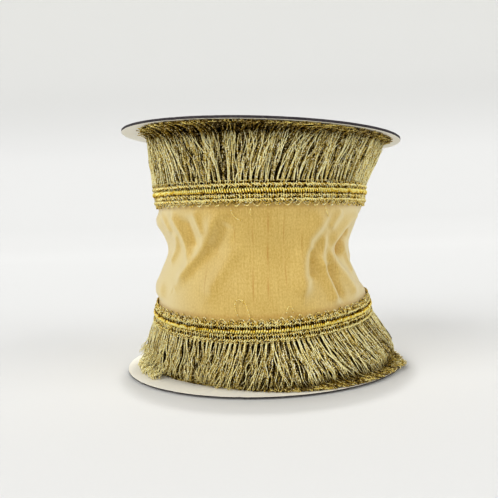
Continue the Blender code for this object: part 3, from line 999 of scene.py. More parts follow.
@dataclass(frozen=True)
class Fold:
    """One fold of the ribbon: its crest's line, its half width on each side and how far it stands out."""

    line: tuple[tuple[float, float], ...]
    left: float
    right: float
    lift: float
    crisp: float = 1.5
    ends: float = 0.2
    crest: float = 0.22
    least: float = 0.25

    def raised(self, azimuth: np.ndarray, height: np.ndarray, radius: np.ndarray) -> np.ndarray:
        """How far the fold lifts the cloth at points.

        Args:
            azimuth: Azimuths in degrees.
            height: Heights.
            radius: Radius of the reel there.

        Returns:
            The lifts.
        """
        across = np.radians(1.0) * radius
        runs = [np.hypot((b[0] - a[0]) * DEGREE, b[1] - a[1]) for a, b in zip(self.line, self.line[1:])]
        nearest, gone = np.full(np.shape(azimuth), 1.0e9), 0.0
        side, share = np.zeros(nearest.shape), np.zeros(nearest.shape)
        for start, end, run in zip(self.line, self.line[1:], runs):
            run_x, run_y = (end[0] - start[0]) * across, end[1] - start[1]
            x, y = wrapped(azimuth - start[0]) * across, height - start[1]
            part = np.clip((x * run_x + y * run_y) / (run_x ** 2 + run_y ** 2), 0.0, 1.0)
            distance = np.hypot(x - run_x * part, y - run_y * part)
            closer = distance < nearest
            side = np.where(closer, np.sign(x * run_y - y * run_x) * math.copysign(1.0, run_y), side)
            share = np.where(closer, (gone + run * part) / sum(runs), share)
            nearest = np.minimum(nearest, distance)
            gone += run
        width = np.where(side > 0.0, self.right, self.left)
        rounded = np.hypot(nearest / width, self.crest) - self.crest
        ended = smooth(share / self.ends) * smooth((1.0 - share) / self.ends) if self.ends else 1.0
        return self.lift * np.exp(-rounded ** self.crisp) * (self.least + (1.0 - self.least) * ended)


@dataclass
class WoundRibbon:
    """The ribbon's outer turn: drawn in at its waist and folded where it is slack."""

    upper: EdgeForm
    lower: EdgeForm
    columns: int = 560
    bare_rows: int = 76
    edge_rows: int = 5
    edge_ease: float = 12.0
    tuck: float = 2.4
    fold_depth: float = 1.4
    # Painted shade: shares of the bare cloth's height that are darkened by each braid, and how far the
    # folds' valleys are darkened.
    lower_shadow: float = 0.022
    upper_shadow: float = 0.016
    painted_valley_shade_gain: float = 1.3
    painted_valley_shade_start: float = 0.8
    waist_height: RingTable = RingTable(WAIST_PLACES, (50.0, 50.0, 50.0, 51.0, 49.0, 48.5, 47.2, 49.5))
    waist_depth: RingTable = RingTable(WAIST_PLACES, (3.6, 3.8, 3.9, 3.6, 2.8, 4.6, 6.6, 4.4))
    waist_reach: RingTable = RingTable(WAIST_PLACES, (11.0, 10.0, 7.6, 10.0, 12.0, 12.5, 13.0, 12.0))
    folds: tuple[Fold, ...] = (
        Fold(((-54, 67), (-50, 62), (-47, 57), (-44, 49), (-42, 46)), 3.0, 1.5, 1.2),
        Fold(((-43, 64), (-41, 58), (-39, 51)), 2.2, 2.0, -0.9),
        Fold(((-22, 66), (-24, 62), (-27, 57), (-32, 52), (-39, 47), (-47, 41), (-53, 37)), 3.2, 1.6, 1.7),
        Fold(((-18, 62), (-22, 56), (-28, 50)), 2.4, 3.0, -0.8),
        Fold(((-68, 67), (-62, 62), (-58, 57)), 2.6, 1.6, 0.8),
        Fold(((-52, 58), (-56, 52), (-64, 45)), 2.2, 1.4, 0.9),
        Fold(((-10, 54), (-13, 51), (-18, 47), (-22, 43), (-27, 37), (-30, 33)), 3.4, 2.0, 0.8),
        Fold(((-36, 67), (-34, 61), (-32, 56)), 2.0, 1.6, 0.7),
        Fold(((37, 65), (35, 63), (30, 58), (25, 54), (23, 47), (22, 39), (18, 31)), 4.2, 2.4, 1.4),
        Fold(((18, 51), (19, 41), (19, 32)), 2.2, 2.2, 0.35),
        Fold(((28, 51), (26, 44), (25, 38)), 1.9, 1.9, -1.5),
        Fold(((36, 56), (34, 49), (34, 41)), 2.0, 1.5, 0.8),
        Fold(((26, 50), (31, 46), (34, 42), (38, 35), (41, 27)), 2.4, 1.9, 1.3),
        Fold(((38, 45), (39, 41), (41, 36), (45, 29)), 1.6, 1.9, -1.5),
        Fold(((37, 50), (43, 45), (50, 40), (56, 34), (59, 28)), 2.6, 2.8, 1.3),
        Fold(((46, 65), (42, 61), (38, 57)), 2.4, 1.9, 0.9),
        Fold(((68, 63), (53, 58), (44, 53), (40, 50)), 3.2, 1.8, 1.5),
        Fold(((63, 58), (55, 54), (51, 49), (51, 45)), 1.9, 2.2, -2.3),
        Fold(((54, 50), (59, 48), (63, 42), (66, 38)), 1.6, 3.0, 0.9),
        Fold(((-98, 62), (-74, 62)), 3.2, 3.2, 1.0, 2.0, 0.0),
        Fold(((-100, 35), (-70, 34)), 3.6, 3.6, 1.1, 2.0, 0.0),
        Fold(((104, 64), (101, 54), (98, 40)), 3.0, 2.2, 1.4),
        Fold(((118, 60), (124, 36)), 2.8, 2.2, -1.4),
        Fold(((132, 65), (126, 55), (130, 44)), 1.8, 2.2, 0.9),
        Fold(((154, 65), (150, 54), (142, 41)), 3.0, 1.8, 1.3),
        Fold(((164, 60), (158, 48), (163, 36)), 1.8, 1.6, -0.8),
        Fold(((176, 54), (181, 44), (186, 34)), 2.6, 2.2, -1.1),
        Fold(((-176, 66), (-170, 56), (-172, 45)), 2.0, 1.4, 0.9),
        Fold(((-150, 66), (-155, 54), (-160, 40)), 2.8, 1.8, 1.3),
        Fold(((-140, 60), (-143, 48), (-136, 36)), 1.7, 1.7, 0.8),
        Fold(((-128, 58), (-118, 36)), 2.8, 2.2, -1.2),
        Fold(((-108, 66), (-112, 54), (-106, 44)), 2.2, 1.6, 0.9),
    )
    finish: RibbonFinish = RibbonFinish()

    def ends(self, azimuth: np.ndarray) -> tuple[np.ndarray, np.ndarray]:
        """Heights at which the bare cloth leaves the lower braid and meets the upper one."""
        lower, upper = self.lower, self.upper
        return lower.cord(azimuth) + lower.to_ribbon, upper.cord(azimuth) - upper.to_ribbon

    def folded(self, azimuth: np.ndarray, height: np.ndarray, radius: np.ndarray) -> np.ndarray:
        """How far all the folds together lift the cloth, before their depth."""
        return sum(fold.raised(azimuth, height, radius) for fold in self.folds)

    def radius(self, azimuth: np.ndarray, share: np.ndarray) -> tuple[np.ndarray, np.ndarray]:
        """The bare cloth's radius and height between the two braids.

        Args:
            azimuth: Azimuths in degrees.
            share: Shares of the way from the lower braid to the upper one.

        Returns:
            The radii and the heights.
        """
        low, high = self.ends(azimuth)
        height = low + (high - low) * share
        low_edge = self.lower.radius(azimuth) - self.lower.flare * self.lower.to_ribbon
        high_edge = self.upper.radius(azimuth) - self.upper.flare * self.upper.to_ribbon
        lift = self.fold_depth * self.folded(azimuth, height, self.upper.radius(azimuth))
        free = np.minimum(1.0, self.edge_ease * share * (1.0 - share))
        waist = (height - self.waist_height(azimuth)) / self.waist_reach(azimuth)
        drawn_in = self.waist_depth(azimuth) * np.exp(-waist * waist)
        return low_edge + (high_edge - low_edge) * share + free * (lift - drawn_in), height

    def radius_at(self, azimuth: np.ndarray, height: np.ndarray) -> np.ndarray:
        """The bare cloth's radius at heights."""
        low, high = self.ends(azimuth)
        return self.radius(azimuth, np.clip((height - low) / (high - low), 0.0, 1.0))[0]

    def under_braid(self, form: EdgeForm, azimuth: np.ndarray, share: np.ndarray) -> np.ndarray:
        """Rows of points under a braid, from its ribbon side, 0, to the cloth's tucked end, 1."""
        towards = -form.to_ribbon + np.minimum(share * 1.2, 1.0) * (form.to_ribbon + form.to_fringe - 0.3)
        return form.lay(azimuth, towards, -GAP - self.tuck * (share == 1.0))

    def build(self, with_pieces: list[bpy.types.Object]) -> bpy.types.Object:
        """Make the outer turn and dress it.

        Args:
            with_pieces: The braids and fringes that are sewn to it; not used.

        Returns:
            The ribbon.
        """
        azimuth = spaced(self.columns)
        covered = np.linspace(1.0, 0.0, self.edge_rows, endpoint=False)[:, None]
        bare = along(self.bare_rows).T
        radius, height = self.radius(azimuth[None], bare)
        points = np.concatenate([
            self.under_braid(self.lower, azimuth, covered),
            polar(radius, azimuth, height),
            self.under_braid(self.upper, azimuth, covered[::-1]),
        ])
        reel = float(np.mean(self.upper.radius(azimuth)))
        laid = stacked(np.radians(wrapped(azimuth)) * reel, points[..., 2], 0.0)
        # Painted shade in the cloth's tone: a dark band just by each braid, as their shadow, and darker
        # folds' valleys.
        painted_braid_shade = np.zeros(points.shape[:2])
        by_lower = np.exp(-((bare / self.lower_shadow) ** 2))
        by_upper = np.exp(-(((1.0 - bare) / self.upper_shadow) ** 2))
        painted_braid_shade[self.edge_rows:-self.edge_rows] = by_lower + 0.6 * by_upper
        painted_valley_shade = -self.painted_valley_shade_gain * self.folded(azimuth[None], points[..., 2], reel) - self.painted_valley_shade_start
        bundle = Bundle()
        bundle.sheet(points, laid, painted_braid_shade + np.clip(painted_valley_shade, 0.0, 2.0))
        made = bundle.piece("wound_ribbon", "ribbon_roll", "ribbon", (self.finish.material(),))
        return made


@dataclass(frozen=True)
class BraidLine:
    """Yarns that wind about one line of the braid, "towards" the fringe and "out" off the bed, in mm."""

    towards: float
    out: float
    wide: float
    tall: float
    thick: float
    tone: float = 0.7
    strands: int = 2
    turns: int = LOCKS
    spread: float = 0.3
    yarn: Yarn = Yarn.CHAIN
    painted_shade_phase: float = 0.5
    contrast: float = 0.36
    steps: int = 8
    sides: int = 4


@dataclass(frozen=True)
class Ladder:
    """A row of short bars between two lines of the braid."""

    near: float
    far: float
    thick: float
    bars: int = 2
    tone: float = 0.62


@dataclass
class Braid(EdgeWork):
    """The braid along one edge: ground, gimp cord, chain lines, ladders, picots and stray ends."""

    ribbon: WoundRibbon
    lines: tuple[BraidLine, ...]
    ladders: tuple[Ladder, ...]
    strays: tuple[tuple[tuple[float, float], ...], ...]
    scallops: int = 75
    picot_steps: int = 21
    picot_twists: float = 4.0
    ground_columns: int = 600
    ground_radius: float = 45.0
    stray_radius: float = 0.15
    stray_tone: float = 0.75
    yarns: tuple[YarnFinish, ...] = (GROUND_AND_SHADE_YARN, CORD_YARN, BRAID_YARN)

    @staticmethod
    def round_reel(points: np.ndarray) -> np.ndarray:
        """Directions round the reel at points."""
        around = stacked(-points[..., 1], points[..., 0], 0.0)
        return around / np.linalg.norm(around, axis=-1, keepdims=True)

    @property
    def picot_depth(self) -> float:
        """How far the picots reach past the ribbon side's chain line."""
        return self.form.to_ribbon - self.form.chain_to_ribbon - 0.4

    def ground(self) -> None:
        """Add the woven ground under the braid's yarns: near black, partly its own dark colour and partly
        painted shade between the yarns and in the gaps at the fringe's roots.
        """
        form, azimuth = self.form, spaced(self.ground_columns)
        rib = 0.06 * np.sin(np.radians(azimuth) * LOCKS)
        arch = np.abs(np.sin(np.radians(azimuth) * self.scallops / 2.0)) ** 0.75
        near, far = -form.chain_to_ribbon - (self.picot_depth - 0.9) * arch, form.to_fringe + 0.1
        rows = [form.lay(azimuth, near, 0.0)]
        rows += [form.lay(azimuth, near + (far - near) * share, 0.26 + rib) for share in along(4)[0]]
        rows.append(form.lay(azimuth, far, -1.4))
        laid = stacked(np.radians(azimuth) * self.ground_radius, 0.0, 0.0)
        self.bundle.sheet(form.facing_out(rows), laid, 0.3, Yarn.GROUND)

    def wound_lines(self) -> None:
        """Add the gimp cord and the chain lines."""
        for line in self.lines:
            count = line.turns * line.steps
            share = np.arange(count) / count
            drift = 0.09 * np.sin(TURN * (share * 53.0 + self.draw.uniform()))
            drift = drift + 0.07 * np.sin(TURN * share * 91.0)
            for strand in range(line.strands):
                angle = TURN * (line.turns * share + strand / line.strands)
                towards = line.towards + drift + line.wide * np.cos(angle)
                out = line.out + line.tall * np.sin(angle)
                path = self.form.lay(360.0 * share, towards, out)[None]
                tone = line.tone + line.spread * np.repeat(self.draw.normal(size=line.turns), line.steps)
                tone = tone + line.contrast * (2 * strand - line.strands + 1)
                # Painted highlight and shade: each wrap is lighter where it stands out off the bed and
                # darker where it dips to it.
                tone = tone + 0.6 * np.sin(angle + line.painted_shade_phase)
                about = self.round_reel(path)
                self.bundle.tubes(path, line.thick, tone[None], line.sides, about, line.yarn)

    def bars(self) -> None:
        """Add the bars of the ladders."""
        for ladder in self.ladders:
            count = LOCKS * ladder.bars
            chance, share = self.chance(count), along(3)
            at = (np.arange(count)[:, None] + 0.5) * 360.0 / count + chance.bell(0.1)
            at = at + (share - 0.5) * chance.bell(0.35, 0.25)
            towards = ladder.near + (ladder.far - ladder.near) * share
            out = 0.46 + 0.3 * arc(share) + chance.bell(0.04)
            tone = chance.bell(0.32, ladder.tone)
            self.bundle.tubes(self.form.lay(at, towards, out), ladder.thick, tone, look=Yarn.CHAIN)

    def picots(self) -> None:
        """Add the row of looped scallops on the ribbon side: each has a full loop and one inside it."""
        chance, share = self.chance(self.scallops), along(self.picot_steps)
        pitch = 360.0 / self.scallops
        middle = (np.arange(self.scallops)[:, None] + 0.5) * pitch + chance.bell(0.1)
        for full, thick, twist, base in ((1.0, 0.19, 0.2, 0.58), (0.5, 0.18, 0.1, 0.42)):
            depth = full * self.picot_depth + chance.bell(0.12)
            arch = arc(share) ** 0.75
            for phase in (0.0, math.pi):
                angle = TURN * self.picot_twists * share + phase
                at = middle + (share - 0.5) * pitch * (0.45 + 0.6 * full)
                at = at + 0.3 * np.cos(angle) * np.cos(np.pi * share)
                towards = -self.form.chain_to_ribbon - depth * arch - twist * np.cos(angle) * arc(share)
                out = 0.42 + 0.2 * np.sin(angle) + 0.12 * arch
                # Painted highlight and shade: each twist is lighter where it stands out and darker where it
                # dips.
                tone = base + 0.3 * np.sin(angle) + chance.bell(0.14) + 0.1 * chance.bell(wide=share.size)
                self.bundle.tubes(self.form.lay(at, towards, out), thick, tone, look=Yarn.CHAIN)

    def stray_ends(self) -> None:
        """Add the ends of yarn that have come loose over the ribbon."""
        share = along(15)[0]
        for stray in self.strays:
            last = len(stray) - 1
            weights = [math.comb(last, k) * share ** k * (1 - share) ** (last - k) for k in range(last + 1)]
            azimuth, height = np.array(stray).T @ np.array(weights)
            lift = 0.3 + 0.5 * arc(share)
            path = polar(self.ribbon.radius_at(azimuth, height) + lift, azimuth, height)[None]
            self.bundle.tubes(path, self.stray_radius, self.stray_tone, sides=4, look=Yarn.CHAIN)

    def build(self) -> bpy.types.Object:
        """Make the braid and dress it.

        Returns:
            The braid.
        """
        for add in (self.ground, self.wound_lines, self.bars, self.picots, self.stray_ends):
            add()
        node, finishes = f"braid_{self.form.name}", tuple(yarn.material() for yarn in self.yarns)
        return self.bundle.piece(f"braid_band_{self.form.name}", node, "braid", finishes)


@dataclass(frozen=True)
class Curls:
    """Short thread ends that curl out between two azimuths: their base, reach and rise off the board."""

    start: float
    end: float
    count: int
    radius: float
    reach: float
    rise: float
    tone: float


@dataclass
class OuterFringe(EdgeWork):
    """The outer turn's fringe: locks of metallic threads that leave the braid and lie over the board.

    Each lock parts into clumps, and the threads of a clump curl together and close at its tip.
    """

    bow: float
    clumps: int = 5
    threads: int = 2
    steps: int = 14
    thread_radius: float = 0.205
    lock_width: float = 0.46
    gathers: int = 60
    gathered: float = 0.06
    curl: float = 0.45
    wild_share: float = 0.1
    wild_lean: float = 5.0
    lean: float = 1.9
    tones: tuple[float, ...] = (0.0, 0.2, 0.5, 0.65, 0.9, 1.1)
    root_inset: float = 0.7
    sweep_power: float = 1.35
    taper: float = 0.4
    free_from: float = 0.14
    free_over: float = 0.5
    layers: float = 1.9
    least_clearance: float = 0.35
    curls: tuple[Curls, ...] = ()

    def build(self) -> bpy.types.Object:
        """Make the locks and dress them.

        Returns:
            The fringe.
        """
        form, share = self.form, along(self.steps)
        bunches = LOCKS * self.clumps
        clump = np.repeat(np.arange(bunches), self.threads)
        lock = clump // self.clumps
        azimuth = spaced(LOCKS)[lock][:, None]
        pitch = 360.0 / LOCKS
        thread, bunch = self.chance(len(lock)), self.chance(bunches)

        clump_place = ((clump % self.clumps) - (self.clumps - 1) / 2.0)[:, None] / self.clumps
        thread_place = thread.even(-0.5, 0.5) / self.clumps
        lock_lean, lock_belly = np.split(self.chance(LOCKS).bell(wide=2)[lock], 2, axis=1)
        lean, lie, reach, rise, _ = np.split(bunch.bell(wide=5)[clump], 5, axis=1)
        wild, wave_length, wave_start = np.split(bunch.even(wide=3)[clump], 3, axis=1)
        shown = bunch.even()[clump]

        to_centre = wrapped(np.sort(self.draw.uniform(0.0, 360.0, self.gathers))[None] - azimuth)
        nearest = np.take_along_axis(to_centre, np.abs(to_centre).argmin(axis=1)[:, None], axis=1)
        astray = np.where(wild < self.wild_share, self.wild_lean, self.lean)
        sweep = form.tip_sweep(azimuth) + 0.7 * lock_lean + self.gathered * nearest + astray * lean
        sweep = sweep + thread.bell(1.1)

        freed = smooth((share - self.free_from) / self.free_over)
        wave = np.sin(TURN * (share * (0.8 + 0.8 * wave_length) + wave_start))
        own = np.sin(TURN * (share * thread.even(1.0, 2.2) + thread.even()))
        at = azimuth + pitch * clump_place * (self.lock_width + 0.9 * freed)
        at = at + pitch * thread_place * (self.lock_width + 2.5 * freed)
        at = at + sweep * share ** self.sweep_power + freed * (self.curl * wave + 0.5 * own)

        depth = np.clip(0.5 + 0.3 * lie + thread.bell(0.15), 0.0, 1.0)
        root = form.lay(azimuth, form.to_fringe - self.root_inset, 0.95 - 0.6 * depth)
        root_radius, root_height = np.hypot(root[..., 0], root[..., 1]), root[..., 2]
        tip_radius = form.tip_radius(azimuth) + 0.5 * reach - self.layers * (depth - 0.1)
        radius = root_radius + (tip_radius - root_radius) * self.eased(share)
        radius = radius + 0.3 * lock_belly * arc(share) + freed * 0.35 * np.roll(wave, 3, axis=1)
        flaring = form.tip_flare(azimuth)
        flare = flaring * thread.even(0.3, 1.3) * smooth((share - 0.72) / 0.28)
        clearance = form.tip_clearance(azimuth) + 0.9 * np.abs(rise) + thread.bell(0.3)
        tip_height = form.off_board(tip_radius, at[:, -1:], np.maximum(clearance, self.least_clearance))
        height = root_height + (tip_height - root_height) * share - form.outwards * 0.25 * flare

        # Painted shade and light: threads set deeper are darker, as shaded by the ones in front, and the
        # flaring tips of the lower left are lighter, as lit from the left. Tone is also lighter by the
        # roots and towards the tips.
        tone = thread.one_of(self.tones) + 0.25 * (shown - 0.5) - 0.5 * (depth - 0.5)
        tone = tone + 0.16 * flaring + 0.06 * form.outwards
        tone = tone + 0.1 * (1.0 - smooth(share / 0.3)) + 0.2 * smooth((share - 0.6) / 0.4) + 0.12 * flare
        thick = self.thread_radius * (1.0 - self.taper * smooth((share - 0.7) / 0.3))
        self.bundle.tubes(polar(radius + flare, at, height), thick, tone)
        self.curled_ends()
        node, finishes = f"fringe_{form.name}", (FRINGE_YARN.material(),)
        return self.bundle.piece(f"outer_fringe_{form.name}", node, "fringe_thread", finishes)

    def curled_ends(self) -> None:
        """Add the short ends that curl out over the board."""
        share = along(7)
        for curls in self.curls:
            chance = self.chance(curls.count)
            azimuth = chance.even(curls.start, curls.end)
            base = curls.radius + chance.even(-1.2, 0.6)
            reach = curls.reach * chance.even(0.4, 1.0)
            turn = chance.bell(2.6)
            rise = curls.rise * chance.even(0.3, 1.0)
            at = azimuth + turn * share + chance.bell(1.2) * share * share
            radius = base + reach * np.sin(0.6 * np.pi * share)
            clearance = 0.3 + rise * (1.0 - share) + 0.8 * arc(share) * chance.even()
            tone = chance.bell(0.15, curls.tone)
            self.bundle.tubes(self.form.over_board(radius, at, clearance), self.thread_radius, tone)

    def eased(self, share: np.ndarray) -> np.ndarray:
        """How far out the threads have bent at shares of their length."""
        return np.minimum(share * self.bow, 1.0) if self.bow > 1.0 else share ** (2.0 - self.bow)


@dataclass
class InnerFringe(EdgeWork):
    """The inner turns' fringe: packed threads that rise behind the outer ones and mat on the board."""

    threads: int = 3
    steps: int = 11
    core_columns: int = 480
    painted_shade_core_tone: float = 0.12
    mat_threads: int = 420
    mat_steps: int = 10
    mat_tones: tuple[float, ...] = (0.1, 0.35, 0.75, 1.0)
    pile_threads: int = 2600
    pile_steps: int = 5
    pile_tones: tuple[float, ...] = (0.0, 0.1, 0.3, 0.7, 0.9)
    thread_radius: float = 0.2
    foot_out: float = 0.6
    neck_inset: float = 1.7
    rim_inset: float = 1.3
    rim_height: float = 0.75
    least_clearance: float = 0.2
    taper: float = 0.35
    painted_shade_riser_tone: float = 0.2

    def foot_height(self, azimuth: np.ndarray) -> np.ndarray:
        """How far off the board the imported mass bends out."""
        return 0.55 * self.form.tip_clearance(azimuth) + 0.4

    def lying(self, azimuth: np.ndarray, share: np.ndarray) -> np.ndarray:
        """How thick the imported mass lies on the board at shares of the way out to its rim."""
        foot = self.foot_height(azimuth)
        return foot + (self.rim_height - foot) * share ** 0.7

    def foot(self, azimuth: np.ndarray) -> np.ndarray:
        """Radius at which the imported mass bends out."""
        return self.form.radius(azimuth) - self.neck_inset + self.foot_out

    def rim(self, azimuth: np.ndarray) -> np.ndarray:
        """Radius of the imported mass's rim."""
        return self.form.spread(azimuth) - self.rim_inset

    def core(self) -> None:
        """Add the packed mass that the threads stand on, darkened as painted shade."""
        form, azimuth = self.form, spaced(self.core_columns)
        ridge = 0.22 * np.sin(np.radians(azimuth) * LOCKS) + 0.12 * np.sin(np.radians(azimuth) * 61.0)
        neck = form.radius(azimuth) - self.neck_inset + ridge
        end = form.cord(azimuth) + form.outwards * (form.to_fringe - 0.6)
        rim, foot = self.rim(azimuth) + ridge, self.foot(azimuth) + ridge
        foot_height = form.off_board(foot, azimuth, self.foot_height(azimuth) + ridge)
        quarters = (0.25, 0.5, 0.75)
        rows = [polar(neck, azimuth, end)]
        stem = neck + 0.4 * ridge
        rows += [polar(stem, azimuth, end + (foot_height - end) * share) for share in quarters]
        rows.append(polar(foot, azimuth, foot_height))
        for share in (*quarters, 1.0):
            lying = self.lying(azimuth, share) + 0.3 * ridge
            rows.append(form.over_board(foot + (rim - foot) * share, azimuth, lying))
        rows.append(form.over_board(rim, azimuth, 0.15))
        laid = stacked(np.stack(rows)[..., 2], 0.0, np.arange(self.core_columns) // 3)
        self.bundle.sheet(form.facing_out(rows), laid, self.painted_shade_core_tone)

    def risers(self) -> None:
        """Add the next turn's locks, which rise to the board and bend out along it."""
        form, share = self.form, along(self.steps)
        lock = np.repeat(np.arange(LOCKS), self.threads)
        chance = self.chance(len(lock))
        azimuth = ((lock + 0.5) * 360.0 / LOCKS)[:, None] + chance.bell(0.7)
        start = form.radius(azimuth) - 0.6 - 0.6 * chance.even()
        reach = form.spread(azimuth) - 2.4 * chance.even() ** 2
        end = form.cord(azimuth) + form.outwards * (form.to_fringe - 0.4)
        low = chance.even(0.2, 1.2)
        board, tip = form.off_board(start, azimuth, low + 0.8), form.off_board(reach, azimuth, low)
        sweep = form.tip_sweep(azimuth) + chance.bell(4.0)
        at = azimuth + sweep * share ** 1.5 + chance.bell(0.12, wide=share.size)
        # Painted shade: the risers are dark, darkest at their roots behind the outer locks, and lighter
        # where they end out on the board.
        tone = chance.bell(0.18, self.painted_shade_riser_tone) * smooth(0.3 + share) + 0.4 * share ** 4
        path = polar(bent(start, start + 1.0, reach, share), at, bent(end, board, tip, share))
        self.bundle.tubes(path, self.thread_radius, tone)

    def mat(self) -> None:
        """Add the long threads that cross each other, pressed on the board."""
        form, chance, share = self.form, self.chance(self.mat_threads), along(self.mat_steps)
        azimuth = chance.even(0.0, 360.0)
        side = np.where(chance.even() < 0.5, -1.0, 1.0)
        turn = side * chance.even(2.0, 9.0) + form.tip_sweep(azimuth)
        at = azimuth + turn * share + chance.bell(0.15, wide=share.size)
        start = form.radius(azimuth) + chance.even(0.0, 3.0)
        reach = form.spread(azimuth + turn) - chance.even(-0.3, 2.6)
        radius = start + (reach - start) * share ** 0.8
        lift = self.foot_height(azimuth) * chance.even(0.25, 0.75)
        clearance = lift + (chance.even(0.3, 1.2) - lift) * share + 0.3 * np.sin(5.0 * share + azimuth)
        # Painted shade: the threads are darker where they start at the packed mass.
        tone = chance.one_of(self.mat_tones) * (0.25 + 0.75 * smooth(share))
        path = form.over_board(radius, at, np.maximum(clearance, 0.22))
        self.bundle.tubes(path, self.thread_radius, tone)

    def pile(self) -> None:
        """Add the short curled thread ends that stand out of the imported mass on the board."""
        form, chance, share = self.form, self.chance(self.pile_threads), along(self.pile_steps)
        azimuth = chance.even(0.0, 360.0)
        place = 1.0 - 0.8 * chance.even() ** 1.4
        base = self.foot(azimuth) + (self.rim(azimuth) - self.foot(azimuth)) * place
        heading = np.radians(chance.bell(34.0) + 2.0 * form.tip_sweep(azimuth))
        length = chance.even(1.4, 3.8)
        curl = chance.bell(0.5) * arc(share)
        reach = form.spread(azimuth) + chance.bell(0.3)
        room = np.minimum(1.0, np.maximum(reach - base, 0.3) / (length * np.abs(np.cos(heading)) + 0.01))
        radius = base + length * room * np.cos(heading) * share
        at = azimuth + 1.15 * (length * np.sin(heading) * share + curl)
        start, room_up = self.lying(azimuth, place), np.minimum(1.0, 0.3 * form.tip_clearance(azimuth))
        rise = room_up * chance.even(-0.3, 0.9) * np.sin(0.8 * np.pi * share)
        clearance = start + (0.45 * start - start) * share + rise
        # Painted shade: the ends are darker the further in they stand on the packed mass.
        tone = chance.one_of(self.pile_tones) + 0.1 * share - 0.8 * (1.0 - smooth((place - 0.6) / 0.38))
        thick = self.thread_radius * (1.0 - self.taper * share)
        path = form.over_board(radius, at, np.maximum(clearance, self.least_clearance))
        self.bundle.tubes(path, thick, tone)

    def build(self) -> bpy.types.Object:
        """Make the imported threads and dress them.

        Returns:
            The inner fringe.
        """
        for add in (self.core, self.risers, self.mat, self.pile):
            add()
        node, finishes = f"inner_fringe_{self.form.name}", (INNER_YARN_PAINTED_SHADE.material(),)
        return self.bundle.piece(f"packed_fringe_{self.form.name}", node, "inner_fringe_thread", finishes)


UPPER_LINES = (
    BraidLine(3.75, 0.62, 0.24, 0.14, 0.16, 0.6, 1),
    BraidLine(2.05, 0.82, 0.36, 0.26, 0.25),
    BraidLine(-0.1, 0.82, 0.74, 0.42, 0.3, 0.5, 1, 2 * LOCKS, 0.22, Yarn.CORD, painted_shade_phase=0.9, steps=6, sides=5),
    BraidLine(-1.95, 0.62, 0.38, 0.14, 0.19, 0.5),
    BraidLine(-3.45, 0.82, 0.36, 0.26, 0.25),
)
LOWER_LINES = (
    BraidLine(4.5, 0.62, 0.2, 0.14, 0.16, 0.6, 1),
    BraidLine(3.35, 0.82, 0.36, 0.26, 0.24),
    BraidLine(1.65, 0.62, 0.3, 0.14, 0.18, 0.5),
    BraidLine(0.2, 0.88, 0.58, 0.44, 0.33, 0.5, 1, 2 * LOCKS, 0.2, Yarn.CORD, painted_shade_phase=0.9, steps=6, sides=5),
    BraidLine(-1.85, 0.82, 0.36, 0.26, 0.24),
)
UPPER_LADDERS = (
    Ladder(2.2, 3.8, 0.21), Ladder(0.7, 2.0, 0.19), Ladder(-3.3, -0.8, 0.21), Ladder(-4.6, -3.4, 0.19),
)
LOWER_LADDERS = (
    Ladder(3.4, 4.6, 0.21), Ladder(0.8, 3.3, 0.21), Ladder(-1.8, -0.5, 0.19), Ladder(-3.4, -1.9, 0.19),
)
UPPER_STRAYS = (
    ((-14.7, 66.6), (-15.2, 64.6), (-12.8, 62.2), (-9.9, 62.0)),
    ((-5.0, 66.6), (-6.4, 64.5), (-5.0, 63.2)),
    ((33.0, 66.2), (32.4, 63.6), (34.8, 62.2)),
)
LOWER_STRAYS = (
    ((-13.4, 26.4), (-17.4, 32.6), (-12.4, 34.6), (-10.6, 31.4)),
    ((-12.2, 32.6), (-9.6, 33.6), (-8.4, 28.4), (-7.6, 25.8)),
    ((10.0, 26.6), (10.4, 31.0), (13.0, 30.6), (13.8, 27.0)),
)
# The first row's curls, at the lower left, take a near-white tone: painted light where the light from the
# left falls on them.
LOWER_CURLS = (
    Curls(-112.0, -54.0, 250, 50.2, 4.0, 4.4, 1.1),
    Curls(62.0, 72.0, 50, 56.6, 4.2, 1.4, 0.62),
)


@dataclass(frozen=True)
class BroadLight:
    """A distant soft light: where it hangs and how broad it looks, in degrees, and its strength."""

    name: str
    azimuth: float
    elevation: float
    breadth: float
    strength: float


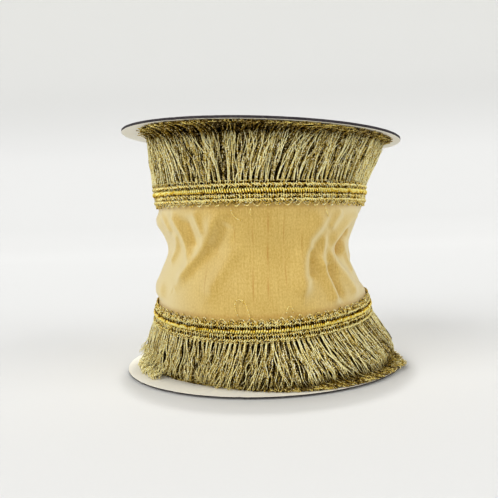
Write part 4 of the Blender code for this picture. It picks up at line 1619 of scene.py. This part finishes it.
@dataclass
class Studio:
    """Pale paper sweep, soft lights and the camera."""

    lens: float = 46.256
    sensor: float = 36.0
    camera_place: tuple[float, float, float] = (-5.80, -276.09, 65.92)
    pitch: float = 3.55
    roll: float = -2.17
    yaw: float = -0.14
    sweep_reach: float = 2600.0
    sweep_start: float = 700.0
    sweep_bend: float = 1600.0
    floor_drop: float = 0.02
    world: Colour = (1.0, 1.0, 0.99, 1.0)
    world_strength: float = 0.16
    look: str = "Medium High Contrast"
    lights: tuple[BroadLight, ...] = (
        BroadLight("overhead_back", 178.0, 80.0, 4.0, 0.72),
        BroadLight("overhead", 180.0, 86.4, 7.0, 0.52),
        BroadLight("left_bank", -54.0, 34.0, 50.0, 1.45),
        BroadLight("right_bank", 64.0, 28.0, 50.0, 0.95),
        BroadLight("front_fill", 4.0, 24.0, 40.0, 0.5),
    )

    def camera(self) -> None:
        """Set the camera as the photo's stood."""
        level = Euler((math.radians(90.0 - self.pitch), 0.0, math.radians(self.yaw))).to_matrix()
        turn = (level @ Matrix.Rotation(math.radians(self.roll), 3, "Z")).to_4x4()
        lens = bpy.data.cameras.new("camera")
        lens.lens, lens.sensor_width = self.lens, self.sensor
        lens.clip_start, lens.clip_end = 10.0 * MM, 20.0
        made = placed("camera", lens)
        made.matrix_world = Matrix.Translation(Vector(self.camera_place) * MM) @ turn
        bpy.context.scene.camera = made

    def sweep(self) -> None:
        """Lay the paper: a floor that bends up behind the reel."""
        bend = np.radians(np.linspace(0.0, 90.0, 61))
        depth = np.concatenate([[-self.sweep_reach], self.sweep_start + self.sweep_bend * np.sin(bend)])
        height = np.concatenate([[0.0], self.sweep_bend * (1.0 - np.cos(bend))])
        depth = np.append(depth, depth[-1])
        height = np.append(height, 2.5 * self.sweep_bend) - self.floor_drop
        half = 1.5 * self.sweep_reach
        corners = [(x * MM, y * MM, z * MM) for y, z in zip(depth, height) for x in (-half, half)]
        faces = [(2 * i, 2 * i + 1, 2 * i + 3, 2 * i + 2) for i in range(len(depth) - 1)]
        mesh = bpy.data.meshes.new("studio_paper")
        mesh.from_pydata(corners, [], faces)
        mesh.shade_smooth()
        mesh.materials.append(FloorFinish().material())
        placed("studio_paper", mesh)

    def hang(self, light: BroadLight) -> None:
        """Hang one broad, distant light that looks at the reel.

        Args:
            light: The light.
        """
        lamp = bpy.data.lights.new(light.name, "SUN")
        lamp.energy, lamp.angle = light.strength, math.radians(light.breadth)
        made, climb = placed(light.name, lamp), math.radians(light.elevation)
        made.location = -Vector(polar(-math.cos(climb), light.azimuth, -math.sin(climb)))
        made.rotation_euler = (-made.location).to_track_quat("-Z", "Y").to_euler()

    def light(self) -> None:
        """Light the studio."""
        world = bpy.data.worlds.new("studio")
        world.use_nodes = True
        background = world.node_tree.nodes["Background"]
        background.inputs["Color"].default_value = self.world
        background.inputs["Strength"].default_value = self.world_strength
        bpy.context.scene.world = world
        bpy.context.scene.view_settings.view_transform = "Standard"
        bpy.context.scene.view_settings.look = self.look
        for light in self.lights:
            self.hang(light)

    def build(self) -> None:
        """Make the studio."""
        self.camera()
        self.sweep()
        self.light()


def main() -> None:
    """Build and dress the reel, sub-assembly by sub-assembly."""
    logging.basicConfig(level=logging.INFO, format="%(name)s: %(message)s")
    boards = [
        Board(LOWER, warp=0.0, undercut=0.6, nicks=((-38.0, 0.35, 0.8), (-10.8, 0.3, 0.7))).build(),
        Board(UPPER, nicks=((-33.0, 0.3, 0.7), (-18.2, 0.25, 0.6), (3.4, 0.25, 0.6))).build(),
    ]
    ribbon = WoundRibbon(UPPER, LOWER)
    edging = [
        Braid(UPPER, 5, ribbon, UPPER_LINES, UPPER_LADDERS, UPPER_STRAYS).build(),
        Braid(LOWER, 6, ribbon, LOWER_LINES, LOWER_LADDERS, LOWER_STRAYS).build(),
        OuterFringe(UPPER, seed=11, bow=0.9).build(),
        OuterFringe(LOWER, seed=23, bow=1.3, gathered=0.03, curl=0.35, curls=LOWER_CURLS).build(),
        InnerFringe(UPPER, seed=37).build(),
        InnerFringe(LOWER, seed=41, painted_shade_riser_tone=0.32).build(),
    ]
    made = [*boards, *edging, ribbon.build(edging)]
    Studio().build()
    for piece in made:
        piece.data.calc_loop_triangles()
        LOG.info("%s: %d triangles", piece.name, len(piece.data.loop_triangles))


if __name__ == "__main__":
    main()
